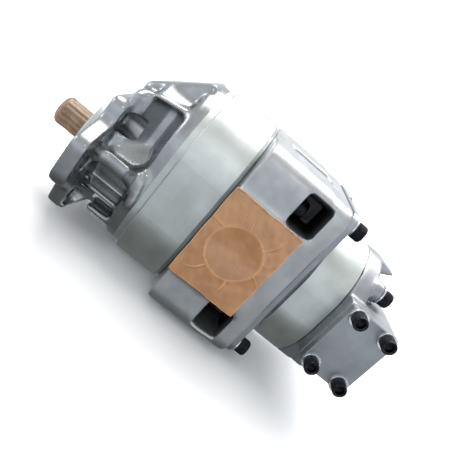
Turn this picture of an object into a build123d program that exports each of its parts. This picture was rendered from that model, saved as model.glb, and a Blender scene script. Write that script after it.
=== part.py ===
from build123d import *
from math import acos, cos, pi, radians, sin, tan
import os

os.makedirs("parts", exist_ok=True)

# Own frame in millimetres: X runs along the drive shaft (tip at -X), Z is up.
# The origin is on the shaft axis, in the front face of the mounting flange.

# ---------------------------------------------------------------- stations along X
SHAFT_TIP = -62.0
PILOT_FRONT = -12.7
FLANGE_BACK = 20.0
RIM_FRONT = 73.0
PLATE_FRONT = 90.0
CASE_FRONT = 98.0
CASE_BACK = 164.0
BLOCK_FRONT = 166.5
BLOCK_STEP = 250.0
BLOCK_BACK = 283.0
ADAPTER_BACK = 292.0
REAR_CASE_FRONT = 296.0
REAR_CASE_BACK = 347.0
COVER_BACK = 372.0
EAR_BACK = 383.0
REAR_BLOCK_BACK = 417.0

# ---------------------------------------------------------------- gear stages
MODULE = 5.0
TEETH = 13
GEAR_GAP = MODULE * TEETH
REAR_MODULE = 4.5
REAR_TEETH = 12
REAR_GAP = REAR_MODULE * REAR_TEETH
GEAR_FRONT = 108.0
GEAR_BACK = 154.0
REAR_GEAR_FRONT = 304.0
REAR_GEAR_BACK = 339.0
PRESSURE_ANGLE = radians(20)
TOOTH_THINNING = 0.45
TIP_CLEARANCE = 0.35
SIDE_CLEARANCE = 0.05
JOURNAL_R = 20.0
REAR_JOURNAL_R = 15.0
BUSH_R = 23.0
REAR_BUSH_R = 18.0
RUNNING = 0.05
BUSH_LENGTH = 27.0
REAR_BUSH_LENGTH = 25.0

# ---------------------------------------------------------------- outer cases
CASE_R = 86.5
CASE_MID_Z = 32.5
CASE_HALF = 39.0
RIM_R = 80.5
REAR_R = 75.0
REAR_MID_Z = REAR_GAP / 2
REAR_HALF = 18.0

# ---------------------------------------------------------------- mounting flange
PILOT_R = 63.5
FOUR_BOLT = 57.25
FOUR_BOLT_R = 7.15
TWO_BOLT = 90.5
TWO_BOLT_R = 8.75
SPOT_FACE_R = 16.0
SPOT_FACE_DEPTH = 1.0

# ---------------------------------------------------------------- port block
BLOCK_Y = 98.0
BLOCK_TOP = 152.0
BLOCK_BOTTOM = -86.5
BLOCK_CORNER = 22.0
PORT_FACE_Y = 102.0
PORT_X = 210.0
PORT_Z = 31.5
SUCTION_R = 31.75
SUCTION_BOLTS = (50.8, 88.9)
DELIVERY_R = 19.05
DELIVERY_BOLTS = (35.7, 69.9)
PORT_THREAD_R = 6.0
PORT_THREAD_DEPTH = 24.0

# ---------------------------------------------------------------- rear side ports
REAR_PORT_X = 384.0
REAR_PORT_Z = 28.5
REAR_FACE_Y = 90.0
REAR_SUCTION_R = 25.4
REAR_SUCTION_BOLTS = (42.9, 77.8)
REAR_DELIVERY_R = 12.7
REAR_DELIVERY_BOLTS = (26.2, 52.4)
REAR_DELIVERY_THREAD_R = 5.0
COVER_PLATE_THICK = 12.5

# ---------------------------------------------------------------- fasteners
TIE_R = 8.0
TIE_SEAT = 228.0
TIE_END = 80.0
TIE_POINTS = [(-58, 109), (58, 109), (-58, -44), (58, -44), (0, 138), (0, -73)]
M14_R = 7.0
WASHER_THICK = 2.5
CORNER_POINTS = [(-68, 134), (68, 134), (-68, -69), (68, -69)]
COVER_POINTS = [(-45, 90), (45, 90), (-45, -36), (45, -36)]
M12_R = 6.0
TIE_HEAD_R = 12.0
TIE_HEAD = 16.0
M14_HEAD_R = 10.5
M14_HEAD = 14.0
M14_WASHER_R = 12.5
M12_HEAD_R = 9.0
M12_HEAD = 12.0
M12_WASHER_R = 11.5
CORNER_LENGTH = 30.0
COVER_BOLT_LENGTH = 120.0
PLATE_SCREW_LENGTH = 32.0
CORNER_END = ADAPTER_BACK + WASHER_THICK - CORNER_LENGTH
COVER_END = EAR_BACK + WASHER_THICK - COVER_BOLT_LENGTH
HOLE_PLAY = 0.4
DOWEL_R = 4.0
DOWEL_HALF = 9.0
DOWEL_POINTS = [(-70, 58), (70, 7)]
THREAD_PLAY = 0.02


def save(built, label):
    """Name a finished sub-part and write its STEP file"""
    built.part.label = label
    export_step(built.part, "parts/" + label + ".step")


def along_x(x, y, z):
    """Placement whose own Z axis points along +X"""
    return Plane(origin=(x, y, z), x_dir=(0, 1, 0), z_dir=(1, 0, 0)).location


def towards_camera_side(x, y, z):
    """Placement whose own Z axis points along -Y"""
    return Plane(origin=(x, y, z), x_dir=(1, 0, 0), z_dir=(0, -1, 0)).location


def capsule(radius, mid_z, half):
    """Case outline: two arcs over each other joined by straight sides"""
    with Locations((0, mid_z)):
        SlotCenterToCenter(2 * half, 2 * radius, rotation=90)


def eight(radius, gap):
    """Outline of two overlapping circles round the two gear axes"""
    with Locations((0, 0), (0, gap)):
        Circle(radius)


def racetrack_ring(radius, width, mid_z, half):
    """Ring of constant width that follows a case outline"""
    capsule(radius + width / 2, mid_z, half)
    with Locations((0, mid_z)):
        SlotCenterToCenter(2 * half, 2 * radius - width, rotation=90, mode=Mode.SUBTRACT)


def involute(angle):
    """Involute function of a pressure angle"""
    return tan(angle) - angle


def gear_face(module, teeth, phase):
    """Face of a spur gear with a tooth centred on the direction phase (degrees)"""
    pitch_r = module * teeth / 2
    base_r = pitch_r * cos(PRESSURE_ANGLE)
    tip_r = pitch_r + module
    root_r = pitch_r - 1.25 * module
    half = pi / (2 * teeth) - TOOTH_THINNING / (2 * pitch_r)

    def point(radius, angle):
        return (radius * cos(angle), radius * sin(angle))

    def flank(radius):
        return half + involute(PRESSURE_ANGLE) - involute(acos(base_r / radius))

    radii = [base_r + (tip_r - base_r) * k / 4 for k in range(5)]
    with BuildSketch() as gear:
        with BuildLine():
            for tooth in range(teeth):
                mid = radians(phase) + 2 * pi * tooth / teeth
                after = mid + 2 * pi / teeth
                wide = flank(base_r + 1e-9)
                rise = [point(r, mid - flank(max(r, base_r + 1e-9))) for r in radii]
                fall = [point(r, mid + flank(max(r, base_r + 1e-9))) for r in radii]
                Line(point(root_r, mid - wide), rise[0])
                Spline(*rise)
                ThreePointArc(rise[-1], point(tip_r, mid), fall[-1])
                Spline(*fall[::-1])
                Line(fall[0], point(root_r, mid + wide))
                ThreePointArc(
                    point(root_r, mid + wide),
                    point(root_r, mid + pi / teeth),
                    point(root_r, after - wide),
                )
        make_face()
    return gear.sketch


def spline_face(major_r, root_r, teeth, play):
    """Face of an external spline with straight-sided teeth, grown all round by play"""
    pitch = 2 * pi / teeth
    with BuildSketch() as toothed:
        with BuildLine():
            for tooth in range(teeth):
                mid = tooth * pitch
                low = root_r + play
                high = major_r + play
                foot = 0.30 * pitch + play / low
                head = 0.16 * pitch + play / high
                a = (low * cos(mid - foot), low * sin(mid - foot))
                b = (high * cos(mid - head), high * sin(mid - head))
                c = (high * cos(mid + head), high * sin(mid + head))
                d = (low * cos(mid + foot), low * sin(mid + foot))
                e = (low * cos(mid + pitch - foot), low * sin(mid + pitch - foot))
                Line(a, b)
                Line(b, c)
                Line(c, d)
                Line(d, e)
        make_face()
    return toothed.sketch


def socket_screw(shank_r, length, head_r, head_high, key_across):
    """Socket head screw along Z: the head stands on z = 0 and the shank hangs below"""
    with BuildPart() as screw:
        with BuildSketch(Plane.XY.offset(-length)):
            Circle(shank_r)
        extrude(amount=length)
        with BuildSketch(Plane.XY):
            Circle(head_r)
        extrude(amount=head_high)
        chamfer(screw.faces().sort_by(Axis.Z)[-1].edges(), 0.08 * head_high)
        chamfer(screw.faces().sort_by(Axis.Z)[0].edges(), 0.15 * shank_r)
        with BuildSketch(Plane.XY.offset(head_high)):
            RegularPolygon(key_across / 2, 6, major_radius=False)
        extrude(amount=-0.5 * head_high, mode=Mode.SUBTRACT)
    return screw.part


def washer(inner_r, outer_r):
    """Flat washer along Z standing on z = 0"""
    with BuildPart() as ring:
        with BuildSketch(Plane.XY):
            Circle(outer_r)
            Circle(inner_r, mode=Mode.SUBTRACT)
        extrude(amount=WASHER_THICK)
        chamfer(ring.edges().filter_by(GeomType.CIRCLE).group_by(Axis.Z)[-1].sort_by(SortBy.RADIUS)[-1], 0.4)
    return ring.part


# ---------------------------------------------------------------- front bracket
# One casting: four-ear and two-ear mounting flange, ribbed neck and rim.
FLANGE_TOP = 79.0
EAR_Y = 77.0
WAIST = 49.0
LOBE_Y = 116.0
LOBE_TOP = 26.0
LOBE_BOTTOM = -30.0
OUTLINE_FILLET = 12.0
TOE_FILLET = 4.0
RIM_FILLET = 8.0
SEAL_BORE_R = 31.0
SEAL_BORE_END = 34.0
RING_GROOVE_X = 7.0
RING_GROOVE_R = 33.0
NECK_FRONT = 12.0
NECK_BACK = 80.0
NECK_WALL = 40.0
NECK_BOTTOM = -58.0
HUB_R = 49.0
SHOULDER_BACK = 36.0
SHOULDER_Y = 60.0
SHOULDER_TOP = 102.0
SHELF_Y = 66.0
WEB_LOW = 2.0
WEB_TOP = 20.5
WEB_Y = 75.0
ARCH_Y = 88.0
ARCH_BACK = 89.0
ARCH_TOE = -17.0


def arch_web():
    """Web on the -Y side of the neck; its rear end bends down over the rim as a rounded foot"""
    with BuildPart() as web:
        with BuildSketch(Plane.XZ.offset(NECK_WALL - 4)) as side:
            with BuildLine():
                Polyline((18, WEB_LOW), (18, WEB_TOP), (62, WEB_TOP + 1), (73, WEB_TOP + 11), (84, WEB_TOP + 5),
                         (ARCH_BACK, -4), (ARCH_BACK - 1, ARCH_TOE), (ARCH_BACK - 9, ARCH_TOE),
                         (ARCH_BACK - 12, WEB_LOW), close=True)
            make_face()
            fillet([v for v in side.vertices() if v.X > 70], 3.5)
        extrude(amount=ARCH_Y - NECK_WALL + 4)
        with BuildSketch(Plane.XY.offset(ARCH_TOE - 1)):
            with BuildLine():
                Polyline((18, -NECK_WALL), (26, -WEB_Y + 2), (60, -WEB_Y), (76, -ARCH_Y), (ARCH_BACK + 1, -ARCH_Y),
                         (ARCH_BACK + 1, -NECK_WALL + 10), (18, -NECK_WALL + 10), close=True)
            make_face()
        extrude(amount=WEB_TOP - ARCH_TOE + 20, mode=Mode.INTERSECT)
    return web.part


with BuildPart() as front_bracket:
    # rim with its rounded front edge; the machined joint face is its rear end
    with BuildSketch(Plane.YZ.offset(RIM_FRONT)):
        capsule(RIM_R, CASE_MID_Z, CASE_HALF)
    extrude(amount=PLATE_FRONT - RIM_FRONT)
    fillet(front_bracket.faces().sort_by(Axis.X)[0].edges(), RIM_FILLET)
    # flange plate: square ears above and below, a round lobe on either side
    with BuildSketch(Plane.YZ) as flange:
        with BuildLine():
            Polyline((0, FLANGE_TOP), (-EAR_Y, FLANGE_TOP), (-EAR_Y, WAIST), (-LOBE_Y, LOBE_TOP),
                     (-LOBE_Y, LOBE_BOTTOM), (-EAR_Y + 5, -WAIST - 3), (-EAR_Y + 11, -FLANGE_TOP - 1),
                     (0, -FLANGE_TOP - 1))
            mirror(about=Plane.YZ)
        make_face()
        fillet([v for v in flange.vertices() if abs(v.X) > 1 and v.Y > -60], OUTLINE_FILLET)
        fillet([v for v in flange.vertices() if abs(v.X) > 60 and v.Y < -60], TOE_FILLET)
    extrude(amount=FLANGE_BACK)
    # neck core with its sloping roof, hub round the shaft, shoulder behind the flange
    with BuildSketch(Plane.XZ.offset(-NECK_WALL)):
        with BuildLine():
            Polyline((NECK_FRONT, NECK_BOTTOM), (NECK_FRONT, 104.5), (75, 151.5), (NECK_BACK, 151.5),
                     (NECK_BACK, NECK_BOTTOM), close=True)
        make_face()
    extrude(amount=2 * NECK_WALL)
    with BuildSketch(Plane.YZ.offset(NECK_FRONT)):
        Circle(HUB_R)
    extrude(amount=NECK_BACK - NECK_FRONT)
    with BuildSketch(Plane.XZ.offset(-SHOULDER_Y)):
        with BuildLine():
            Polyline((NECK_FRONT, 0), (NECK_FRONT, 94), (24, SHOULDER_TOP), (SHOULDER_BACK, SHOULDER_TOP),
                     (SHOULDER_BACK - 4, 30), (SHOULDER_BACK, 0), close=True)
        make_face()
    extrude(amount=2 * SHOULDER_Y)
    # upper shelf, rising towards the rim
    with BuildSketch(Plane.XZ.offset(-SHELF_Y)):
        with BuildLine():
            Polyline((SHOULDER_BACK - 2, 100.5), (SHOULDER_BACK - 2, 106), (NECK_BACK, 115), (NECK_BACK, 107),
                     close=True)
        make_face()
    extrude(amount=2 * SHELF_Y)
    # arched webs, lower ribs and bottom plate
    add(arch_web())
    add(arch_web().mirror(Plane.XZ))
    for low, high, half in ((-34, -27, 70), (NECK_BOTTOM, NECK_BOTTOM + 8, 66)):
        with BuildSketch(Plane.XY.offset(low)):
            with BuildLine():
                Polyline((18, -NECK_WALL), (30, -half), (NECK_BACK, -half),
                         (NECK_BACK, half), (30, half), (18, NECK_WALL), close=True)
            make_face()
        extrude(amount=high - low)
    # gusset from the bottom plate down to the lower ears
    with BuildSketch(Plane.XZ.offset(-SHELF_Y)):
        with BuildLine():
            Polyline((18, -FLANGE_TOP - 1), (FLANGE_BACK + 1, -FLANGE_TOP - 1), (38, NECK_BOTTOM),
                     (38, NECK_BOTTOM + 18), (18, NECK_BOTTOM + 18), close=True)
        make_face()
    extrude(amount=2 * SHELF_Y)
    # pilot
    with BuildSketch(Plane.YZ.offset(PILOT_FRONT)):
        Circle(PILOT_R)
    extrude(amount=-PILOT_FRONT)
    # bolt holes with machined spot faces behind
    with BuildSketch(Plane.YZ):
        with Locations([(y, z) for y in (-FOUR_BOLT, FOUR_BOLT) for z in (-FOUR_BOLT, FOUR_BOLT)]):
            Circle(FOUR_BOLT_R)
        with Locations((-TWO_BOLT, 0), (TWO_BOLT, 0)):
            Circle(TWO_BOLT_R)
    extrude(amount=FLANGE_BACK, mode=Mode.SUBTRACT)
    with BuildSketch(Plane.YZ.offset(FLANGE_BACK - SPOT_FACE_DEPTH)):
        with Locations([(y, z) for y in (-FOUR_BOLT, FOUR_BOLT) for z in (-FOUR_BOLT, FOUR_BOLT)]):
            Circle(SPOT_FACE_R)
        with Locations((-TWO_BOLT, 0), (TWO_BOLT, 0)):
            Circle(SPOT_FACE_R)
    extrude(amount=24, mode=Mode.SUBTRACT)
    # shaft tunnel: seal bore, retaining ring groove, oil space and bush bores
    with BuildSketch(Plane.YZ.offset(PILOT_FRONT)):
        Circle(SEAL_BORE_R)
    extrude(amount=SEAL_BORE_END - PILOT_FRONT, mode=Mode.SUBTRACT)
    with BuildSketch(Plane.YZ.offset(RING_GROOVE_X)):
        Circle(RING_GROOVE_R)
    extrude(amount=2, mode=Mode.SUBTRACT)
    with BuildSketch(Plane.YZ.offset(SEAL_BORE_END)):
        Circle(JOURNAL_R + 1.5)
    extrude(amount=PLATE_FRONT - SEAL_BORE_END, mode=Mode.SUBTRACT)
    with BuildSketch(Plane.YZ.offset(PLATE_FRONT - BUSH_LENGTH - 1)):
        eight(BUSH_R, GEAR_GAP)
    extrude(amount=BUSH_LENGTH + 1, mode=Mode.SUBTRACT)
    # threads of the tie bolts
    with BuildSketch(Plane.YZ.offset(TIE_END - 2)):
        with Locations(TIE_POINTS):
            Circle(TIE_R + THREAD_PLAY)
    extrude(amount=PLATE_FRONT - TIE_END + 2, mode=Mode.SUBTRACT)
    with BuildSketch(Plane.YZ.offset(PLATE_FRONT - 2)):
        with Locations(DOWEL_POINTS):
            Circle(DOWEL_R + THREAD_PLAY)
    extrude(amount=2, mode=Mode.SUBTRACT)
save(front_bracket, "front_bracket")

# ---------------------------------------------------------------- front plate
with BuildPart() as front_plate:
    with BuildSketch(Plane.YZ.offset(PLATE_FRONT)):
        capsule(RIM_R, CASE_MID_Z, CASE_HALF)
    extrude(amount=CASE_FRONT - PLATE_FRONT)
    with BuildSketch(Plane.YZ.offset(PLATE_FRONT)):
        eight(JOURNAL_R + 0.8, GEAR_GAP)
        with Locations(TIE_POINTS):
            Circle(TIE_R + HOLE_PLAY)
        with Locations(DOWEL_POINTS):
            Circle(DOWEL_R + THREAD_PLAY)
    extrude(amount=CASE_FRONT - PLATE_FRONT, mode=Mode.SUBTRACT)
save(front_plate, "front_plate")

# ---------------------------------------------------------------- front gear case
CHAMBER_R = MODULE * (TEETH + 2) / 2 + TIP_CLEARANCE
CASE_EDGE = 5.0
SEAL_R = 61.0
SEAL_WIDTH = 3.0
SEAL_THICK = 2.5
with BuildPart() as front_gear_case:
    with BuildSketch(Plane.YZ.offset(CASE_FRONT)):
        capsule(CASE_R, CASE_MID_Z, CASE_HALF)
    extrude(amount=CASE_BACK - CASE_FRONT)
    chamfer(front_gear_case.faces().sort_by(Axis.X)[-1].edges(), CASE_EDGE)
    chamfer(front_gear_case.faces().sort_by(Axis.X)[0].edges(), 1.5)
    with BuildSketch(Plane.YZ.offset(CASE_FRONT)):
        eight(CHAMBER_R, GEAR_GAP)
        with Locations(TIE_POINTS):
            Circle(TIE_R + HOLE_PLAY)
    extrude(amount=CASE_BACK - CASE_FRONT, mode=Mode.SUBTRACT)
    # oil pockets beside the mesh, open towards the port block
    with BuildSketch(Plane.YZ.offset(GEAR_FRONT)):
        with Locations((-35, CASE_MID_Z), (35, CASE_MID_Z)):
            Rectangle(42, 30)
    extrude(amount=CASE_BACK - GEAR_FRONT, mode=Mode.SUBTRACT)
    # seal grooves in both joint faces
    for face_x, inwards in ((CASE_FRONT, 1), (CASE_BACK, -1)):
        with BuildSketch(Plane.YZ.offset(face_x)):
            racetrack_ring(SEAL_R, SEAL_WIDTH + 0.4, CASE_MID_Z, GEAR_GAP / 2)
        extrude(amount=inwards * SEAL_THICK, mode=Mode.SUBTRACT)
    with BuildSketch(Plane.YZ.offset(CASE_FRONT)):
        with Locations(DOWEL_POINTS):
            Circle(DOWEL_R + THREAD_PLAY)
    extrude(amount=CASE_BACK - CASE_FRONT, mode=Mode.SUBTRACT)
save(front_gear_case, "front_gear_case")

# ---------------------------------------------------------------- port block
BLOCK_MID_Z = (BLOCK_TOP + BLOCK_BOTTOM) / 2
BLOCK_HIGH = BLOCK_TOP - BLOCK_BOTTOM
SPIGOT_R = 82.5
POCKET_FRONT = TIE_SEAT
POCKET_BACK = 262.0
POCKET_DEPTH = 54.0
POCKET_HIGH = 36.0
POCKET_MIDDLES = (113.0, -48.0)
LEAN_DEPTH = 30.0
LEAN_REACH = 10.8
CLEAR_OF_BLOCK = 8.0
COUPLING_ROOM_R = 29.0
REAR_MOUTH_R = 34.0
SUCTION_END = -36.0
DELIVERY_END = 42.0
REAR_FEED_Y = 40.0
REAR_FEED_R = 9.0
BOSS = (PORT_X, PORT_Z, 86.0, 123.0)
with BuildPart() as port_block:
    with BuildSketch(Plane.YZ.offset(BLOCK_FRONT)):
        with Locations((0, BLOCK_MID_Z)):
            RectangleRounded(2 * BLOCK_Y, BLOCK_HIGH, BLOCK_CORNER)
    extrude(amount=BLOCK_STEP - BLOCK_FRONT)
    # rear part of the casting, a little lower and rounded off behind
    with BuildSketch(Plane.YZ.offset(BLOCK_STEP)):
        with Locations((0, BLOCK_MID_Z)):
            RectangleRounded(2 * BLOCK_Y, BLOCK_HIGH - 5, BLOCK_CORNER - 2)
    extrude(amount=BLOCK_BACK - BLOCK_STEP)
    fillet(port_block.faces().sort_by(Axis.X)[-1].edges(), 7)
    # spigot that carries the front gear case
    with BuildSketch(Plane.YZ.offset(CASE_BACK)):
        capsule(SPIGOT_R, CASE_MID_Z, CASE_HALF)
    extrude(amount=BLOCK_FRONT - CASE_BACK)
    # port bosses on both sides
    with BuildSketch(Plane.XZ.offset(-PORT_FACE_Y)):
        with Locations(BOSS[:2]):
            RectangleRounded(BOSS[2], BOSS[3], 6)
    extrude(amount=2 * PORT_FACE_Y)
    # milled pockets for the side tie bolts
    for side in (-1, 1):
        for middle in POCKET_MIDDLES:
            with BuildSketch(Plane.XZ.offset(-side * (BLOCK_Y - POCKET_DEPTH))):
                with Locations(((POCKET_FRONT + POCKET_BACK) / 2, middle)):
                    RectangleRounded(POCKET_BACK - POCKET_FRONT, POCKET_HIGH, 2)
            extrude(amount=-side * (POCKET_DEPTH + CLEAR_OF_BLOCK), mode=Mode.SUBTRACT)
            # the wall nearest the top or bottom of the block leans outwards
            away = 1 if middle > 0 else -1
            edge = middle + away * POCKET_HIGH / 2
            inner_y = side * (BLOCK_Y - LEAN_DEPTH)
            outer_y = side * (BLOCK_Y + CLEAR_OF_BLOCK)
            with BuildSketch(Plane.YZ.offset(POCKET_FRONT)):
                with BuildLine():
                    Polyline((inner_y, edge), (outer_y, edge + away * LEAN_REACH),
                             (outer_y, middle), (inner_y, middle), close=True)
                make_face()
            extrude(amount=POCKET_BACK - POCKET_FRONT, mode=Mode.SUBTRACT)
    # top and bottom troughs for the middle tie bolts
    for face_z, floor, deep in ((BLOCK_TOP, 143, 122), (BLOCK_BOTTOM, -78, -57)):
        outwards = 1 if face_z > 0 else -1
        with BuildSketch(Plane.XZ.offset(-16)):
            with BuildLine():
                Polyline((186, face_z + outwards), (200, floor), (TIE_SEAT, floor), (TIE_SEAT, deep),
                         (250, deep), (258, face_z + outwards), close=True)
            make_face()
        extrude(amount=32, mode=Mode.SUBTRACT)
    # suction port and its branches to both stages
    with BuildSketch(Plane.XZ.offset(PORT_FACE_Y)):
        with Locations((PORT_X, PORT_Z)):
            Circle(SUCTION_R)
    extrude(amount=-(PORT_FACE_Y + SUCTION_END), mode=Mode.SUBTRACT)
    with BuildSketch(Plane.YZ.offset(CASE_BACK)):
        with Locations((-49, PORT_Z)):
            RectangleRounded(20, 34, 6)
    extrude(amount=PORT_X - CASE_BACK, mode=Mode.SUBTRACT)
    with BuildSketch(Plane.YZ.offset(PORT_X)):
        with Locations((-REAR_FEED_Y, PORT_Z)):
            Circle(REAR_FEED_R)
    extrude(amount=BLOCK_BACK - PORT_X, mode=Mode.SUBTRACT)
    # delivery port of the front stage
    with BuildSketch(Plane.XZ.offset(-PORT_FACE_Y)):
        with Locations((PORT_X, PORT_Z)):
            Circle(DELIVERY_R)
    extrude(amount=PORT_FACE_Y - DELIVERY_END, mode=Mode.SUBTRACT)
    with BuildSketch(Plane.YZ.offset(CASE_BACK)):
        with Locations((51, PORT_Z)):
            RectangleRounded(16, 26, 5)
    extrude(amount=PORT_X - CASE_BACK, mode=Mode.SUBTRACT)
    # threaded holes round both ports
    with BuildSketch(Plane.XZ.offset(PORT_FACE_Y)):
        with Locations((PORT_X, PORT_Z)):
            with GridLocations(SUCTION_BOLTS[0], SUCTION_BOLTS[1], 2, 2):
                Circle(PORT_THREAD_R)
    extrude(amount=-PORT_THREAD_DEPTH, mode=Mode.SUBTRACT)
    with BuildSketch(Plane.XZ.offset(-PORT_FACE_Y)):
        with Locations((PORT_X, PORT_Z)):
            with GridLocations(DELIVERY_BOLTS[0], DELIVERY_BOLTS[1], 2, 2):
                Circle(PORT_THREAD_R)
    extrude(amount=PORT_THREAD_DEPTH, mode=Mode.SUBTRACT)
    # bush bores, coupling room and the mouth for the adapter
    with BuildSketch(Plane.YZ.offset(CASE_BACK)):
        eight(BUSH_R, GEAR_GAP)
    extrude(amount=BUSH_LENGTH + 3, mode=Mode.SUBTRACT)
    with BuildSketch(Plane.YZ.offset(CASE_BACK + BUSH_LENGTH + 3)):
        Circle(COUPLING_ROOM_R)
    extrude(amount=BLOCK_BACK - CASE_BACK - BUSH_LENGTH - 3, mode=Mode.SUBTRACT)
    with BuildSketch(Plane.YZ.offset(POCKET_BACK)):
        eight(REAR_MOUTH_R, REAR_GAP)
    extrude(amount=BLOCK_BACK - POCKET_BACK, mode=Mode.SUBTRACT)
    # clearance holes of the tie bolts, threads of the corner and cover bolts
    with BuildSketch(Plane.YZ.offset(CASE_BACK)):
        with Locations(TIE_POINTS):
            Circle(TIE_R + HOLE_PLAY)
    extrude(amount=TIE_SEAT - CASE_BACK, mode=Mode.SUBTRACT)
    with BuildSketch(Plane.YZ.offset(CORNER_END - 1)):
        with Locations(CORNER_POINTS):
            Circle(M14_R + THREAD_PLAY)
    extrude(amount=BLOCK_BACK - CORNER_END + 1, mode=Mode.SUBTRACT)
    with BuildSketch(Plane.YZ.offset(COVER_END - 1)):
        with Locations(COVER_POINTS):
            Circle(M14_R + THREAD_PLAY)
    extrude(amount=BLOCK_BACK - COVER_END + 1, mode=Mode.SUBTRACT)
    with BuildSketch(Plane.YZ.offset(CASE_BACK)):
        with Locations(DOWEL_POINTS):
            Circle(DOWEL_R + THREAD_PLAY)
    extrude(amount=DOWEL_HALF + 1, mode=Mode.SUBTRACT)
save(port_block, "port_block")

# ---------------------------------------------------------------- adapter plate
ADAPTER_Y = 84.0
ADAPTER_LOW = -84.0
ADAPTER_HIGH = 149.0
with BuildPart() as adapter_plate:
    with BuildSketch(Plane.YZ.offset(BLOCK_BACK)):
        with Locations((0, (ADAPTER_LOW + ADAPTER_HIGH) / 2)):
            RectangleRounded(2 * ADAPTER_Y, ADAPTER_HIGH - ADAPTER_LOW, 18)
    extrude(amount=ADAPTER_BACK - BLOCK_BACK)
    chamfer(adapter_plate.faces().sort_by(Axis.X)[-1].edges(), 1.5)
    # raised land that centres the rear stage
    with BuildSketch(Plane.YZ.offset(ADAPTER_BACK)):
        capsule(REAR_R - 3, REAR_MID_Z, REAR_HALF)
    extrude(amount=REAR_CASE_FRONT - ADAPTER_BACK)
    # bearing snout reaching into the port block
    with BuildSketch(Plane.YZ.offset(POCKET_BACK + 1)):
        eight(REAR_MOUTH_R - 0.1, REAR_GAP)
    extrude(amount=BLOCK_BACK - POCKET_BACK - 1)
    with BuildSketch(Plane.YZ.offset(POCKET_BACK + 1)):
        eight(REAR_BUSH_R, REAR_GAP)
    extrude(amount=REAR_CASE_FRONT - POCKET_BACK - 1, mode=Mode.SUBTRACT)
    with BuildSketch(Plane.YZ.offset(BLOCK_BACK)):
        with Locations((-REAR_FEED_Y, PORT_Z)):
            Circle(REAR_FEED_R)
        with Locations(CORNER_POINTS + COVER_POINTS):
            Circle(M14_R + HOLE_PLAY)
    extrude(amount=REAR_CASE_FRONT - BLOCK_BACK, mode=Mode.SUBTRACT)
save(adapter_plate, "adapter_plate")

# ---------------------------------------------------------------- rear gear case
REAR_SEAL_R = 52.0
REAR_CHAMBER_R = REAR_MODULE * (REAR_TEETH + 2) / 2 + TIP_CLEARANCE
with BuildPart() as rear_gear_case:
    with BuildSketch(Plane.YZ.offset(REAR_CASE_FRONT)):
        capsule(REAR_R, REAR_MID_Z, REAR_HALF)
    extrude(amount=REAR_CASE_BACK - REAR_CASE_FRONT)
    chamfer(rear_gear_case.faces().sort_by(Axis.X)[-1].edges(), 1.0)
    chamfer(rear_gear_case.faces().sort_by(Axis.X)[0].edges(), 2.0)
    with BuildSketch(Plane.YZ.offset(REAR_CASE_FRONT)):
        eight(REAR_CHAMBER_R, REAR_GAP)
        with Locations((-31, REAR_MID_Z), (31, REAR_MID_Z)):
            Rectangle(34, 26)
        with Locations(COVER_POINTS):
            Circle(M14_R + HOLE_PLAY)
    extrude(amount=REAR_CASE_BACK - REAR_CASE_FRONT, mode=Mode.SUBTRACT)
    for face_x, inwards in ((REAR_CASE_FRONT, 1), (REAR_CASE_BACK, -1)):
        with BuildSketch(Plane.YZ.offset(face_x)):
            racetrack_ring(REAR_SEAL_R, SEAL_WIDTH + 0.4, REAR_MID_Z, REAR_HALF)
        extrude(amount=inwards * SEAL_THICK, mode=Mode.SUBTRACT)
save(rear_gear_case, "rear_gear_case")

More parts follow.
